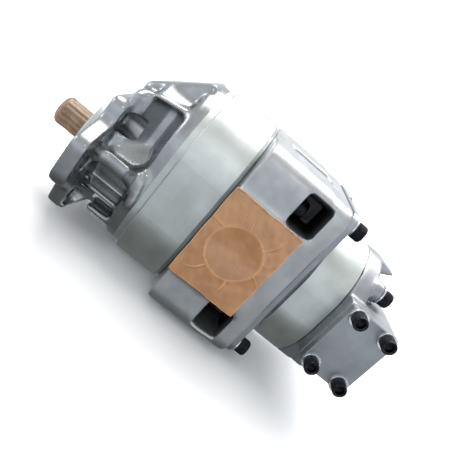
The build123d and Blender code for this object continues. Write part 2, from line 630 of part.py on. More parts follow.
# ---------------------------------------------------------------- rear cover
# Casting with the four bolt ears and a port block on either side.
EAR_R = 14.0
REAR_BLOCK_FRONT = 350.0
REAR_BLOCK_LOW = -18.0
REAR_BLOCK_HIGH = 75.0
with BuildPart() as rear_cover:
    with BuildSketch(Plane.YZ.offset(REAR_CASE_BACK)):
        capsule(REAR_R, REAR_MID_Z, REAR_HALF)
    extrude(amount=COVER_BACK - REAR_CASE_BACK)
    fillet(rear_cover.faces().sort_by(Axis.X)[-1].edges(), 4)
    with BuildSketch(Plane.YZ.offset(COVER_BACK - 5)):
        with Locations(COVER_POINTS):
            Circle(EAR_R)
    extrude(amount=EAR_BACK - COVER_BACK + 5)
    # port blocks: the rear face runs outwards towards the port faces
    with BuildSketch(Plane.XY.offset(REAR_BLOCK_LOW)):
        with BuildLine():
            Polyline((REAR_BLOCK_FRONT, -REAR_FACE_Y), (REAR_BLOCK_BACK, -REAR_FACE_Y),
                     (REAR_BLOCK_BACK, -78), (413, -36), (404, 0), (413, 36),
                     (REAR_BLOCK_BACK, 78), (REAR_BLOCK_BACK, REAR_FACE_Y),
                     (REAR_BLOCK_FRONT, REAR_FACE_Y), close=True)
        make_face()
    extrude(amount=REAR_BLOCK_HIGH - REAR_BLOCK_LOW)
    # cast lug on the crest
    with BuildSketch(Plane.XZ.offset(-12)):
        with BuildLine():
            Polyline((360, 100), (360, 119), (372, 119), (398, 113), (376, 100), close=True)
        make_face()
    extrude(amount=24)
    with BuildSketch(Plane.XZ.offset(REAR_FACE_Y)):
        with Locations((REAR_PORT_X, REAR_PORT_Z)):
            Circle(REAR_SUCTION_R)
    extrude(amount=-(REAR_FACE_Y - 38), mode=Mode.SUBTRACT)
    with BuildSketch(Plane.XZ.offset(-REAR_FACE_Y)):
        with Locations((REAR_PORT_X, REAR_PORT_Z)):
            Circle(REAR_DELIVERY_R)
    extrude(amount=REAR_FACE_Y - 38, mode=Mode.SUBTRACT)
    with BuildSketch(Plane.YZ.offset(REAR_CASE_BACK)):
        with Locations((-40, REAR_PORT_Z)):
            Rectangle(14, 24)
        with Locations((40, REAR_PORT_Z)):
            Rectangle(12, 20)
    extrude(amount=REAR_PORT_X - REAR_CASE_BACK, mode=Mode.SUBTRACT)
    with BuildSketch(Plane.XZ.offset(REAR_FACE_Y)):
        with Locations((REAR_PORT_X, REAR_PORT_Z)):
            with GridLocations(REAR_SUCTION_BOLTS[0], REAR_SUCTION_BOLTS[1], 2, 2):
                Circle(M12_R + THREAD_PLAY)
    extrude(amount=-PORT_THREAD_DEPTH, mode=Mode.SUBTRACT)
    with BuildSketch(Plane.XZ.offset(-REAR_FACE_Y)):
        with Locations((REAR_PORT_X, REAR_PORT_Z)):
            with GridLocations(REAR_DELIVERY_BOLTS[0], REAR_DELIVERY_BOLTS[1], 2, 2):
                Circle(REAR_DELIVERY_THREAD_R)
    extrude(amount=PORT_THREAD_DEPTH, mode=Mode.SUBTRACT)
    with BuildSketch(Plane.YZ.offset(REAR_CASE_BACK)):
        eight(REAR_BUSH_R, REAR_GAP)
    extrude(amount=REAR_BUSH_LENGTH + 1, mode=Mode.SUBTRACT)
    with BuildSketch(Plane.YZ.offset(REAR_CASE_BACK)):
        with Locations(COVER_POINTS):
            Circle(M14_R + HOLE_PLAY)
    extrude(amount=EAR_BACK - REAR_CASE_BACK, mode=Mode.SUBTRACT)
save(rear_cover, "rear_cover")

# ---------------------------------------------------------------- port cover plate
PLATE_SEAL_R = 29.0
with BuildPart() as port_cover_plate:
    with BuildSketch(Plane.XZ.offset(REAR_FACE_Y)):
        with Locations((REAR_PORT_X, REAR_PORT_Z)):
            RectangleRounded(67, 95, 7)
            with GridLocations(REAR_SUCTION_BOLTS[0], REAR_SUCTION_BOLTS[1], 2, 2):
                Circle(M12_R + HOLE_PLAY, mode=Mode.SUBTRACT)
    extrude(amount=COVER_PLATE_THICK)
    chamfer(port_cover_plate.faces().sort_by(Axis.Y)[0].edges().filter_by(GeomType.LINE), 1.0)
    with BuildSketch(Plane.XZ.offset(REAR_FACE_Y)):
        with Locations((REAR_PORT_X, REAR_PORT_Z)):
            Circle(PLATE_SEAL_R + SEAL_WIDTH / 2 + 0.2)
            Circle(PLATE_SEAL_R - SEAL_WIDTH / 2 - 0.2, mode=Mode.SUBTRACT)
    extrude(amount=SEAL_THICK, mode=Mode.SUBTRACT)
save(port_cover_plate, "port_cover_plate")

# ---------------------------------------------------------------- drive shaft
# Splined end, journals, gear and rear coupling spline are one forging.
SPLINE_R = 18.95
SPLINE_ROOT_R = 16.7
SPLINE_TEETH = 17
SPLINE_BACK = -14.0
NECK_R = 16.2
SHAFT_BODY_FRONT = -10.0
COUPLING_SPLINE_R = 14.6
COUPLING_ROOT_R = 13.0
COUPLING_TEETH = 12
DRIVE_END = 197.0
with BuildPart() as drive_shaft:
    with BuildSketch(Plane.YZ.offset(SHAFT_TIP)):
        add(spline_face(SPLINE_R, SPLINE_ROOT_R, SPLINE_TEETH, 0))
    extrude(amount=SPLINE_BACK - SHAFT_TIP)
    # turned blank that trims the spline ends to a taper
    with BuildSketch(Plane.XZ):
        with BuildLine():
            Polyline((SHAFT_TIP, 0), (SHAFT_TIP, SPLINE_ROOT_R - 1), (SHAFT_TIP + 4, SPLINE_R),
                     (SPLINE_BACK - 3, SPLINE_R), (SPLINE_BACK, NECK_R), (SPLINE_BACK, 0), close=True)
        make_face()
    revolve(axis=Axis.X, mode=Mode.INTERSECT)
    with BuildSketch(Plane.XZ):
        with BuildLine():
            Polyline((SPLINE_BACK - 0.5, 0), (SPLINE_BACK - 0.5, NECK_R), (SHAFT_BODY_FRONT, NECK_R),
                     (SHAFT_BODY_FRONT, JOURNAL_R - 1), (SHAFT_BODY_FRONT + 1, JOURNAL_R),
                     (DRIVE_END - 1, JOURNAL_R), (DRIVE_END, JOURNAL_R - 1), (DRIVE_END, 0), close=True)
        make_face()
    revolve(axis=Axis.X)
    with BuildSketch(Plane.YZ.offset(GEAR_FRONT + SIDE_CLEARANCE)):
        add(gear_face(MODULE, TEETH, 90))
    extrude(amount=GEAR_BACK - GEAR_FRONT - 2 * SIDE_CLEARANCE)
    with BuildSketch(Plane.YZ.offset(DRIVE_END)):
        add(spline_face(COUPLING_SPLINE_R, COUPLING_ROOT_R, COUPLING_TEETH, 0))
    extrude(amount=26)
    # centre hole in the shaft tip
    with BuildSketch(Plane.YZ.offset(SHAFT_TIP)):
        Circle(4)
    extrude(amount=9, taper=12, mode=Mode.SUBTRACT)
save(drive_shaft, "drive_shaft")

# ---------------------------------------------------------------- front driven gear
with BuildPart() as driven_gear:
    with BuildSketch(Plane.YZ.offset(GEAR_FRONT + SIDE_CLEARANCE)):
        with Locations((0, GEAR_GAP)):
            add(gear_face(MODULE, TEETH, 90))
    extrude(amount=GEAR_BACK - GEAR_FRONT - 2 * SIDE_CLEARANCE)
    with BuildSketch(Plane.YZ.offset(PLATE_FRONT - BUSH_LENGTH)):
        with Locations((0, GEAR_GAP)):
            Circle(JOURNAL_R)
    extrude(amount=GEAR_FRONT - PLATE_FRONT + BUSH_LENGTH + 1)
    with BuildSketch(Plane.YZ.offset(GEAR_BACK - 1)):
        with Locations((0, GEAR_GAP)):
            Circle(JOURNAL_R)
    extrude(amount=CASE_BACK + 1 + BUSH_LENGTH - GEAR_BACK + 1)
    chamfer(driven_gear.faces().sort_by(Axis.X)[0].edges(), 1)
    chamfer(driven_gear.faces().sort_by(Axis.X)[-1].edges(), 1)
save(driven_gear, "driven_gear")

# ---------------------------------------------------------------- coupling sleeve
COUPLING_FRONT = 198.0
COUPLING_BACK = 255.0
with BuildPart() as coupling_sleeve:
    with BuildSketch(Plane.YZ.offset(COUPLING_FRONT)):
        Circle(24)
        add(spline_face(COUPLING_SPLINE_R, COUPLING_ROOT_R, COUPLING_TEETH, 0.05), mode=Mode.SUBTRACT)
    extrude(amount=COUPLING_BACK - COUPLING_FRONT)
    chamfer(coupling_sleeve.edges().filter_by(GeomType.CIRCLE), 1.5)
save(coupling_sleeve, "coupling_sleeve")

# ---------------------------------------------------------------- rear gears
REAR_JOURNAL_FRONT = 256.0
REAR_JOURNAL_END = REAR_CASE_BACK + REAR_BUSH_LENGTH - 1
HALF_TOOTH = 180 / REAR_TEETH
with BuildPart() as rear_drive_gear:
    with BuildSketch(Plane.YZ.offset(REAR_GEAR_FRONT + SIDE_CLEARANCE)):
        add(gear_face(REAR_MODULE, REAR_TEETH, 90))
    extrude(amount=REAR_GEAR_BACK - REAR_GEAR_FRONT - 2 * SIDE_CLEARANCE)
    with BuildSketch(Plane.YZ.offset(REAR_JOURNAL_FRONT)):
        Circle(REAR_JOURNAL_R)
    extrude(amount=REAR_JOURNAL_END - REAR_JOURNAL_FRONT)
    chamfer(rear_drive_gear.faces().sort_by(Axis.X)[-1].edges(), 1)
    with BuildSketch(Plane.YZ.offset(REAR_JOURNAL_FRONT - 30)):
        add(spline_face(COUPLING_SPLINE_R, COUPLING_ROOT_R, COUPLING_TEETH, 0))
    extrude(amount=30)
save(rear_drive_gear, "rear_drive_gear")

REAR_DRIVEN_FRONT = REAR_CASE_FRONT - REAR_BUSH_LENGTH
with BuildPart() as rear_driven_gear:
    with BuildSketch(Plane.YZ.offset(REAR_GEAR_FRONT + SIDE_CLEARANCE)):
        with Locations((0, REAR_GAP)):
            add(gear_face(REAR_MODULE, REAR_TEETH, 90 + HALF_TOOTH))
    extrude(amount=REAR_GEAR_BACK - REAR_GEAR_FRONT - 2 * SIDE_CLEARANCE)
    with BuildSketch(Plane.YZ.offset(REAR_DRIVEN_FRONT)):
        with Locations((0, REAR_GAP)):
            Circle(REAR_JOURNAL_R)
    extrude(amount=REAR_JOURNAL_END - REAR_DRIVEN_FRONT)
    chamfer(rear_driven_gear.faces().sort_by(Axis.X)[0].edges(), 1)
    chamfer(rear_driven_gear.faces().sort_by(Axis.X)[-1].edges(), 1)
save(rear_driven_gear, "rear_driven_gear")

# ---------------------------------------------------------------- bushes
with BuildPart() as front_stage_bushes:
    for start in (PLATE_FRONT - BUSH_LENGTH, CASE_BACK + 1):
        with BuildSketch(Plane.YZ.offset(start)):
            with Locations((0, 0), (0, GEAR_GAP)):
                Circle(BUSH_R)
            with Locations((0, 0), (0, GEAR_GAP)):
                Circle(JOURNAL_R + RUNNING, mode=Mode.SUBTRACT)
        extrude(amount=BUSH_LENGTH)
save(front_stage_bushes, "front_stage_bushes")

with BuildPart() as rear_stage_bushes:
    for start in (REAR_CASE_FRONT - REAR_BUSH_LENGTH, REAR_CASE_BACK):
        with BuildSketch(Plane.YZ.offset(start)):
            with Locations((0, 0), (0, REAR_GAP)):
                Circle(REAR_BUSH_R)
            with Locations((0, 0), (0, REAR_GAP)):
                Circle(REAR_JOURNAL_R + RUNNING, mode=Mode.SUBTRACT)
        extrude(amount=REAR_BUSH_LENGTH)
save(rear_stage_bushes, "rear_stage_bushes")


# ---------------------------------------------------------------- wear plates
def wear_plate(start, end, outer_r, journal_r, gap):
    """Figure-eight plate with a relief notch on each side of the mesh"""
    with BuildPart() as plate:
        with BuildSketch(Plane.YZ.offset(start)):
            eight(outer_r, gap)
            with Locations((0, 0), (0, gap)):
                Circle(journal_r, mode=Mode.SUBTRACT)
            with Locations((-21, gap / 2), (21, gap / 2)):
                RectangleRounded(9, 13, 3, mode=Mode.SUBTRACT)
        extrude(amount=end - start)
    return plate.part


WEAR_GAP = 0.1
with BuildPart() as front_stage_wear_plates:
    add(wear_plate(CASE_FRONT, GEAR_FRONT, CHAMBER_R - WEAR_GAP, JOURNAL_R + 0.8, GEAR_GAP))
    add(wear_plate(GEAR_BACK, CASE_BACK, CHAMBER_R - WEAR_GAP, JOURNAL_R + 0.8, GEAR_GAP))
save(front_stage_wear_plates, "front_stage_wear_plates")

with BuildPart() as rear_stage_wear_plates:
    add(wear_plate(REAR_CASE_FRONT, REAR_GEAR_FRONT, REAR_CHAMBER_R - WEAR_GAP,
                   REAR_JOURNAL_R + 0.8, REAR_GAP))
    add(wear_plate(REAR_GEAR_BACK, REAR_CASE_BACK, REAR_CHAMBER_R - WEAR_GAP,
                   REAR_JOURNAL_R + 0.8, REAR_GAP))
save(rear_stage_wear_plates, "rear_stage_wear_plates")

# ---------------------------------------------------------------- shaft seals
LIP_R = JOURNAL_R + RUNNING
with BuildPart() as shaft_seals:
    for start in (11, 22):
        with BuildSketch(Plane.XZ):
            with BuildLine():
                Polyline((start, SEAL_BORE_R), (start + 9, SEAL_BORE_R), (start + 9, 28),
                         (start + 3, 28), (start + 3, 24), (start + 7, 22.5), (start + 6, LIP_R),
                         (start + 3.5, 21.5), (start, 23.5), close=True)
            make_face()
        revolve(axis=Axis.X)
save(shaft_seals, "shaft_seals")

with BuildPart() as retaining_ring:
    with BuildSketch(Plane.YZ.offset(RING_GROOVE_X + 0.1)):
        Circle(RING_GROOVE_R - 0.1)
        with Locations((0, 2)):
            Circle(27, mode=Mode.SUBTRACT)
        with Locations((0, -30)):
            Rectangle(12, 14, mode=Mode.SUBTRACT)
        with Locations((-9, -27.5), (9, -27.5)):
            Circle(1.3, mode=Mode.SUBTRACT)
    extrude(amount=1.8)
save(retaining_ring, "retaining_ring")

# ---------------------------------------------------------------- fasteners
with BuildPart() as tie_bolts:
    tie_bolt = socket_screw(TIE_R, TIE_SEAT - TIE_END, TIE_HEAD_R, TIE_HEAD, 14)
    for y, z in TIE_POINTS:
        add(tie_bolt.moved(along_x(TIE_SEAT, y, z)))
save(tie_bolts, "tie_bolts")

with BuildPart() as corner_bolts:
    corner_bolt = socket_screw(M14_R, CORNER_LENGTH, M14_HEAD_R, M14_HEAD, 12)
    for y, z in CORNER_POINTS:
        add(corner_bolt.moved(along_x(ADAPTER_BACK + WASHER_THICK, y, z)))
save(corner_bolts, "corner_bolts")

with BuildPart() as cover_bolts:
    cover_bolt = socket_screw(M14_R, COVER_BOLT_LENGTH, M14_HEAD_R, M14_HEAD, 12)
    for y, z in COVER_POINTS:
        add(cover_bolt.moved(along_x(EAR_BACK + WASHER_THICK, y, z)))
save(cover_bolts, "cover_bolts")

with BuildPart() as m14_washers:
    m14_washer = washer(M14_R + 0.3, M14_WASHER_R)
    for y, z in CORNER_POINTS:
        add(m14_washer.moved(along_x(ADAPTER_BACK, y, z)))
    for y, z in COVER_POINTS:
        add(m14_washer.moved(along_x(EAR_BACK, y, z)))
save(m14_washers, "m14_washers")

PLATE_OUTSIDE = -(REAR_FACE_Y + COVER_PLATE_THICK)
PLATE_POINTS = [(REAR_PORT_X + 0.5 * a * REAR_SUCTION_BOLTS[0], REAR_PORT_Z + 0.5 * b * REAR_SUCTION_BOLTS[1])
                for a in (-1, 1) for b in (-1, 1)]
with BuildPart() as plate_screws:
    plate_screw = socket_screw(M12_R, PLATE_SCREW_LENGTH, M12_HEAD_R, M12_HEAD, 10)
    for x, z in PLATE_POINTS:
        add(plate_screw.moved(towards_camera_side(x, PLATE_OUTSIDE - WASHER_THICK, z)))
save(plate_screws, "plate_screws")

with BuildPart() as plate_washers:
    plate_washer = washer(M12_R + 0.3, M12_WASHER_R)
    for x, z in PLATE_POINTS:
        add(plate_washer.moved(towards_camera_side(x, PLATE_OUTSIDE, z)))
save(plate_washers, "plate_washers")

# ---------------------------------------------------------------- seal rings and dowels
with BuildPart() as front_case_seals:
    for start in (CASE_FRONT, CASE_BACK - SEAL_THICK):
        with BuildSketch(Plane.YZ.offset(start)):
            racetrack_ring(SEAL_R, SEAL_WIDTH, CASE_MID_Z, GEAR_GAP / 2)
        extrude(amount=SEAL_THICK)
save(front_case_seals, "front_case_seals")

with BuildPart() as rear_case_seals:
    for start in (REAR_CASE_FRONT, REAR_CASE_BACK - SEAL_THICK):
        with BuildSketch(Plane.YZ.offset(start)):
            racetrack_ring(REAR_SEAL_R, SEAL_WIDTH, REAR_MID_Z, REAR_HALF)
        extrude(amount=SEAL_THICK)
save(rear_case_seals, "rear_case_seals")

with BuildPart() as port_cover_seal:
    with BuildSketch(Plane.XZ.offset(REAR_FACE_Y)):
        with Locations((REAR_PORT_X, REAR_PORT_Z)):
            Circle(PLATE_SEAL_R + SEAL_WIDTH / 2)
            Circle(PLATE_SEAL_R - SEAL_WIDTH / 2, mode=Mode.SUBTRACT)
    extrude(amount=SEAL_THICK)
save(port_cover_seal, "port_cover_seal")

with BuildPart() as dowel_pins:
    for joint_x in (CASE_FRONT, CASE_BACK):
        with BuildSketch(Plane.YZ.offset(joint_x - DOWEL_HALF)):
            with Locations(DOWEL_POINTS):
                Circle(DOWEL_R)
        extrude(amount=2 * DOWEL_HALF)
save(dowel_pins, "dowel_pins")

# ---------------------------------------------------------------- shipping tapes
TAPE = 0.4
with BuildPart() as suction_tape:
    with BuildSketch(Plane.XZ.offset(PORT_FACE_Y)):
        with Locations((PORT_X, PORT_Z)):
            RectangleRounded(92, 124, 3)
    extrude(amount=TAPE)
save(suction_tape, "suction_tape")

with BuildPart() as shaft_tape:
    with BuildSketch(Plane.XZ):
        with BuildLine():
            Polyline((SHAFT_TIP - 1, 0), (SHAFT_TIP - 1, SPLINE_R - 3), (SHAFT_TIP + 3, SPLINE_R + 0.7),
                     (SPLINE_BACK, SPLINE_R + 0.7), (SPLINE_BACK, SPLINE_R + 0.1),
                     (SHAFT_TIP + 3, SPLINE_R + 0.1), (SHAFT_TIP - 0.4, SPLINE_R - 3.4),
                     (SHAFT_TIP - 0.4, 0), close=True)
        make_face()
    revolve(axis=Axis.X)
save(shaft_tape, "shaft_tape")
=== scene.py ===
import math

import bmesh
import bpy
import numpy as np
from mathutils import Matrix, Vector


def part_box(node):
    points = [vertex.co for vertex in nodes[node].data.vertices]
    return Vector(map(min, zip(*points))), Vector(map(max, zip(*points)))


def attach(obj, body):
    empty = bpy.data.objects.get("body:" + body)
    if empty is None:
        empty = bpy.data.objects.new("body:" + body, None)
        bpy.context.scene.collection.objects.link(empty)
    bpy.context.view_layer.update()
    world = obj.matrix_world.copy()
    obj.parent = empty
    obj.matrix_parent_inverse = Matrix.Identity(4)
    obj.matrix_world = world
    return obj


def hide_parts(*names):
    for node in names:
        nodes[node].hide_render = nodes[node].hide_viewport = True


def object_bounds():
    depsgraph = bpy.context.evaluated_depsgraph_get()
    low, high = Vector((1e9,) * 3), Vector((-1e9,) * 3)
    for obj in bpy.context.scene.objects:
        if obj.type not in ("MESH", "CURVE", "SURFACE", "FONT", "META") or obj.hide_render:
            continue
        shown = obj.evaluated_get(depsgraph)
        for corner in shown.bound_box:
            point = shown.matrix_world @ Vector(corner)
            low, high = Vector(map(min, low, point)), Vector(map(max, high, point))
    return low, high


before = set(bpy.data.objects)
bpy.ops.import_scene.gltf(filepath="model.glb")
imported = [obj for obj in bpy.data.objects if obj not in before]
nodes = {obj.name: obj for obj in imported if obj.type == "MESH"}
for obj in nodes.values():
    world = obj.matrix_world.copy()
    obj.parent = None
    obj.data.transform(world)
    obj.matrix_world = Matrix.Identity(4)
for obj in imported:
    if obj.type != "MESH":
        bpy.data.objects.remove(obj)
cad_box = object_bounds()

# ---------------------------------------------------------------------------
# Studio: a pale floor that sweeps up into a pale wall behind the pump, soft
# panels overhead, at the flange end and in front, one more on the wall, and a
# sky. The camera is rolled, so that the pump runs down to the right.
# ---------------------------------------------------------------------------
CAMERA_PLACE = (0.1337, -0.5762, 0.2090)
CAMERA_YAW = 6.62
CAMERA_PITCH = 18.35
CAMERA_ROLL = 41.72
CAMERA_LENS = 36.3
FLOOR_GAP = 0.0005
FLOOR_HALF = 6.0
WALL_PLACE = 1.6
WALL_HIGH = 5.0
SWEEP_R = 0.8
STUDIO_WHITE = (0.93, 0.93, 0.94, 1)


def camera_turn(yaw, pitch, roll):
    """Rotation matrix with columns right, up and back: yaw is about Z from +Y towards +X, pitch is
    downwards and roll turns the picture about the line of sight"""
    y, p, r = (math.radians(a) for a in (yaw, pitch, roll))
    ahead = np.array([math.sin(y) * math.cos(p), math.cos(y) * math.cos(p), -math.sin(p)])
    level = np.array([math.cos(y), -math.sin(y), 0.0])
    upward = np.cross(level, ahead)
    right = math.cos(r) * level + math.sin(r) * upward
    up = -math.sin(r) * level + math.cos(r) * upward
    return np.column_stack([right, up, -ahead])


camera_data = bpy.data.cameras.new("camera")
camera_data.lens = CAMERA_LENS
camera_data.sensor_width = 36.0
camera = bpy.data.objects.new("camera", camera_data)
bpy.context.scene.collection.objects.link(camera)
camera.matrix_world = Matrix.Translation(CAMERA_PLACE) @ Matrix(
    camera_turn(CAMERA_YAW, CAMERA_PITCH, CAMERA_ROLL).tolist()).to_4x4()
bpy.context.scene.camera = camera


def grid_piece(name, points, wrap_columns=False):
    """Mesh from a grid of points (rows, columns, 3): each cell between neighbouring rows and columns is a
    face, and with wrap_columns the last column joins the first"""
    rows, columns = points.shape[:2]
    index = np.arange(rows * columns).reshape(rows, columns)
    if wrap_columns:
        index = np.column_stack([index, index[:, :1]])
    faces = np.stack([index[:-1, :-1], index[:-1, 1:], index[1:, 1:], index[1:, :-1]], axis=-1)
    mesh = bpy.data.meshes.new(name)
    mesh.from_pydata(points.reshape(-1, 3).tolist(), [], faces.reshape(-1, 4).tolist())
    mesh.update()
    piece = bpy.data.objects.new(name, mesh)
    bpy.context.scene.collection.objects.link(piece)
    return piece


def smooth_shaded(piece):
    """Smooth shading on every face"""
    piece.data.polygons.foreach_set("use_smooth", [True] * len(piece.data.polygons))
    piece.data.update()


# floor and wall: a line along Y that turns up through a quarter circle, drawn out along X
turn = np.linspace(0, math.pi / 2, 24)
floor_z = cad_box[0].z - FLOOR_GAP
sweep_y = np.concatenate([[-FLOOR_HALF], WALL_PLACE + SWEEP_R * np.sin(turn), [WALL_PLACE + SWEEP_R]])
sweep_z = np.concatenate([[0], SWEEP_R * (1 - np.cos(turn)), [WALL_HIGH]]) + floor_z
sweep_x = np.array([-FLOOR_HALF, FLOOR_HALF])
studio = grid_piece("studio_sweep", np.stack([
    np.broadcast_to(sweep_x[None, :], (len(sweep_y), 2)),
    np.broadcast_to(sweep_y[:, None], (len(sweep_y), 2)),
    np.broadcast_to(sweep_z[:, None], (len(sweep_y), 2))], axis=-1))
smooth_shaded(studio)
studio_paint = bpy.data.materials.new("studio_paint")
studio_paint.use_nodes = True
studio_shader = studio_paint.node_tree.nodes["Principled BSDF"]
studio_shader.inputs["Base Color"].default_value = STUDIO_WHITE
studio_shader.inputs["Roughness"].default_value = 0.9
studio.data.materials.append(studio_paint)
# the floor lights the pump but is not mirrored in it, so its underside stays dark
studio.visible_glossy = False

world = bpy.data.worlds.new("studio_sky")
bpy.context.scene.world = world
world.use_nodes = True
sky_tree = world.node_tree
# the sky is pale blue at the horizon, white overhead and dark below: (height from 0 to 1, colour)
SKY_STOPS = [(0.00, (0.19, 0.20, 0.20)), (0.20, (0.22, 0.23, 0.23)), (0.31, (0.38, 0.40, 0.42)),
             (0.38, (1.14, 1.22, 1.30)), (0.50, (1.22, 1.31, 1.42)), (0.62, (0.98, 1.03, 1.08)),
             (0.80, (0.86, 0.88, 0.88)), (1.00, (0.92, 0.93, 0.92))]
sky_place = sky_tree.nodes.new("ShaderNodeTexCoord")
sky_split = sky_tree.nodes.new("ShaderNodeSeparateXYZ")
sky_height = sky_tree.nodes.new("ShaderNodeMapRange")
sky_height.inputs["From Min"].default_value = -1.0
sky_ramp = sky_tree.nodes.new("ShaderNodeValToRGB")
while len(sky_ramp.color_ramp.elements) < len(SKY_STOPS):
    sky_ramp.color_ramp.elements.new(0.5)
for element, (height, colour) in zip(sky_ramp.color_ramp.elements, SKY_STOPS):
    element.position = height
    element.color = (*colour, 1)
sky_tree.links.new(sky_place.outputs["Generated"], sky_split.inputs["Vector"])
sky_tree.links.new(sky_split.outputs["Z"], sky_height.inputs["Value"])
sky_tree.links.new(sky_height.outputs["Result"], sky_ramp.inputs["Fac"])
sky_tree.links.new(sky_ramp.outputs["Color"], sky_tree.nodes["Background"].inputs["Color"])
sky_tree.nodes["Background"].inputs["Strength"].default_value = 0.9
bpy.context.scene.view_settings.view_transform = "Standard"


def soft_panel(name, place, target, size, power):
    """Rectangular lamp at place that faces target"""
    lamp = bpy.data.lights.new(name, "AREA")
    lamp.shape = "RECTANGLE"
    lamp.size, lamp.size_y = size
    lamp.energy = power
    panel = bpy.data.objects.new(name, lamp)
    bpy.context.scene.collection.objects.link(panel)
    back = np.array(place, float) - np.array(target, float)
    back /= np.linalg.norm(back)
    side = np.cross((0.0, 1.0, 0.001), back)
    side /= np.linalg.norm(side)
    turned = Matrix(np.column_stack([side, np.cross(back, side), back]).tolist()).to_4x4()
    panel.matrix_world = Matrix.Translation(place) @ turned
    return panel


PUMP_MIDDLE = (0.17, 0.0, 0.03)
WALL_FOOT = (0.3, 1.9, 0.2)
soft_panel("top_panel", (0.05, 0.12, 0.95), PUMP_MIDDLE, (1.0, 0.5), 7)
soft_panel("flange_end_panel", (-1.2, -0.5, 0.55), PUMP_MIDDLE, (0.5, 0.5), 3)
soft_panel("front_lamp", (0.30, -1.2, 0.80), PUMP_MIDDLE, (0.15, 0.10), 0.7)
soft_panel("wall_wash", (0.3, 1.3, 2.4), WALL_FOOT, (4.0, 0.6), 90)

# ---------------------------------------------------------------------------
# Front bracket: mounting flange, ribbed neck and rim in one aluminium sand
# casting, blasted smooth. Joint face, pilot, bores and spot faces are machined.
# ---------------------------------------------------------------------------
FLANGE_THICK = 0.020
FOUR_BOLT = 0.05725
FOUR_BOLT_R = 0.00715
TWO_BOLT = 0.0905
TWO_BOLT_R = 0.00875
SPOT_FACE_R = 0.016
SPOT_FACE_END = 0.043
PILOT_R = 0.0635
PILOT_FRONT = -0.0127
SEAL_BORE_R = 0.031
SEAL_BORE_END = 0.034
TUNNEL_R = 0.0215
BUSH_BORE_R = 0.023
BUSH_BORE_START = 0.062
JOINT_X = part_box("front_plate")[0].x
GEAR_GAP = 0.065
TIE_POINTS = [(-0.058, 0.109), (0.058, 0.109), (-0.058, -0.044), (0.058, -0.044), (0, 0.138), (0, -0.073)]
TIE_R = 0.008
CASE_MID_Z = 0.0325
CASE_HALF = 0.039
RIM_R = 0.0805
BRACKET_VOXEL = 0.0018
BRACKET_SMOOTHING = 40
AFTER_NET = 4


def new_finish(name, metallic):
    """Material with a bare shader: returns the material, its node tree and the shader"""
    material = bpy.data.materials.new(name)
    material.use_nodes = True
    shader = material.node_tree.nodes["Principled BSDF"]
    shader.inputs["Metallic"].default_value = metallic
    return material, material.node_tree, shader


def grain(tree, stretch, scale, detail=3.0):
    """Noise on the piece's own coordinates, squeezed by stretch along each axis: a value from 0 to 1"""
    place = tree.nodes.new("ShaderNodeTexCoord")
    mapping = tree.nodes.new("ShaderNodeMapping")
    mapping.inputs["Scale"].default_value = stretch
    noise = tree.nodes.new("ShaderNodeTexNoise")
    noise.inputs["Scale"].default_value = scale
    noise.inputs["Detail"].default_value = detail
    tree.links.new(place.outputs["Object"], mapping.inputs["Vector"])
    tree.links.new(mapping.outputs["Vector"], noise.inputs["Vector"])
    return noise.outputs[0]


def tones(tree, value, stops):
    """Colour ramp over value: stops are (place, grey or colour)"""
    ramp = tree.nodes.new("ShaderNodeValToRGB")
    while len(ramp.color_ramp.elements) < len(stops):
        ramp.color_ramp.elements.new(0.5)
    for element, (place, colour) in zip(ramp.color_ramp.elements, stops):
        element.position = place
        element.color = (*colour, 1) if isinstance(colour, tuple) else (colour, colour, colour, 1)
    tree.links.new(value, ramp.inputs["Fac"])
    return ramp.outputs["Color"]


def product(tree, first, second):
    """Colour that is the two colours multiplied"""
    mix = tree.nodes.new("ShaderNodeMix")
    mix.data_type = "RGBA"
    mix.blend_type = "MULTIPLY"
    mix.inputs["Factor"].default_value = 1.0
    tree.links.new(first, mix.inputs["A"])
    tree.links.new(second, mix.inputs["B"])
    return mix.outputs["Result"]


def ranged(tree, value, low, high):
    """Value carried from the noise's usual spread, 0.3 to 0.7, to low..high"""
    node = tree.nodes.new("ShaderNodeMapRange")
    node.inputs["From Min"].default_value = 0.3
    node.inputs["From Max"].default_value = 0.7
    node.inputs["To Min"].default_value = low
    node.inputs["To Max"].default_value = high
    tree.links.new(value, node.inputs["Value"])
    return node.outputs["Result"]


def relief(tree, shader, value, depth):
    """Bump of the given depth in metres, laid over any bump that the shader already has"""
    node = tree.nodes.new("ShaderNodeBump")
    node.inputs["Distance"].default_value = depth
    node.inputs["Strength"].default_value = 1.0
    tree.links.new(value, node.inputs["Height"])
    for link in list(shader.inputs["Normal"].links):
        tree.links.new(link.from_socket, node.inputs["Normal"])
    tree.links.new(node.outputs["Normal"], shader.inputs["Normal"])


def cast_aluminium(name, light, dark, rough_low, rough_high, sand, hollow_shade):
    """Blasted casting: cloudy grey, painted shade that darkens the hollows to the share given by the last
    argument, a fine sandy relief
    """
    material, tree, shader = new_finish(name, 1.0)
    clouds = grain(tree, (1, 1, 1), 38, 4)
    curvature = tree.nodes.new("ShaderNodeNewGeometry").outputs["Pointiness"]
    body = tones(tree, clouds, [(0.32, dark), (0.68, light)])
    # painted shade: where the skin is hollow, the colour is darkened
    edges = tones(tree, curvature, [(0.40, hollow_shade), (0.49, 0.97), (0.56, 1.0)])
    tree.links.new(product(tree, body, edges), shader.inputs["Base Color"])
    tree.links.new(ranged(tree, grain(tree, (1, 1, 1), 120, 3), rough_low, rough_high),
                   shader.inputs["Roughness"])
    relief(tree, shader, grain(tree, (1, 1, 1), 1500, 2), sand)
    relief(tree, shader, grain(tree, (1, 1, 1), 240, 2), sand * 1.6)
    return material


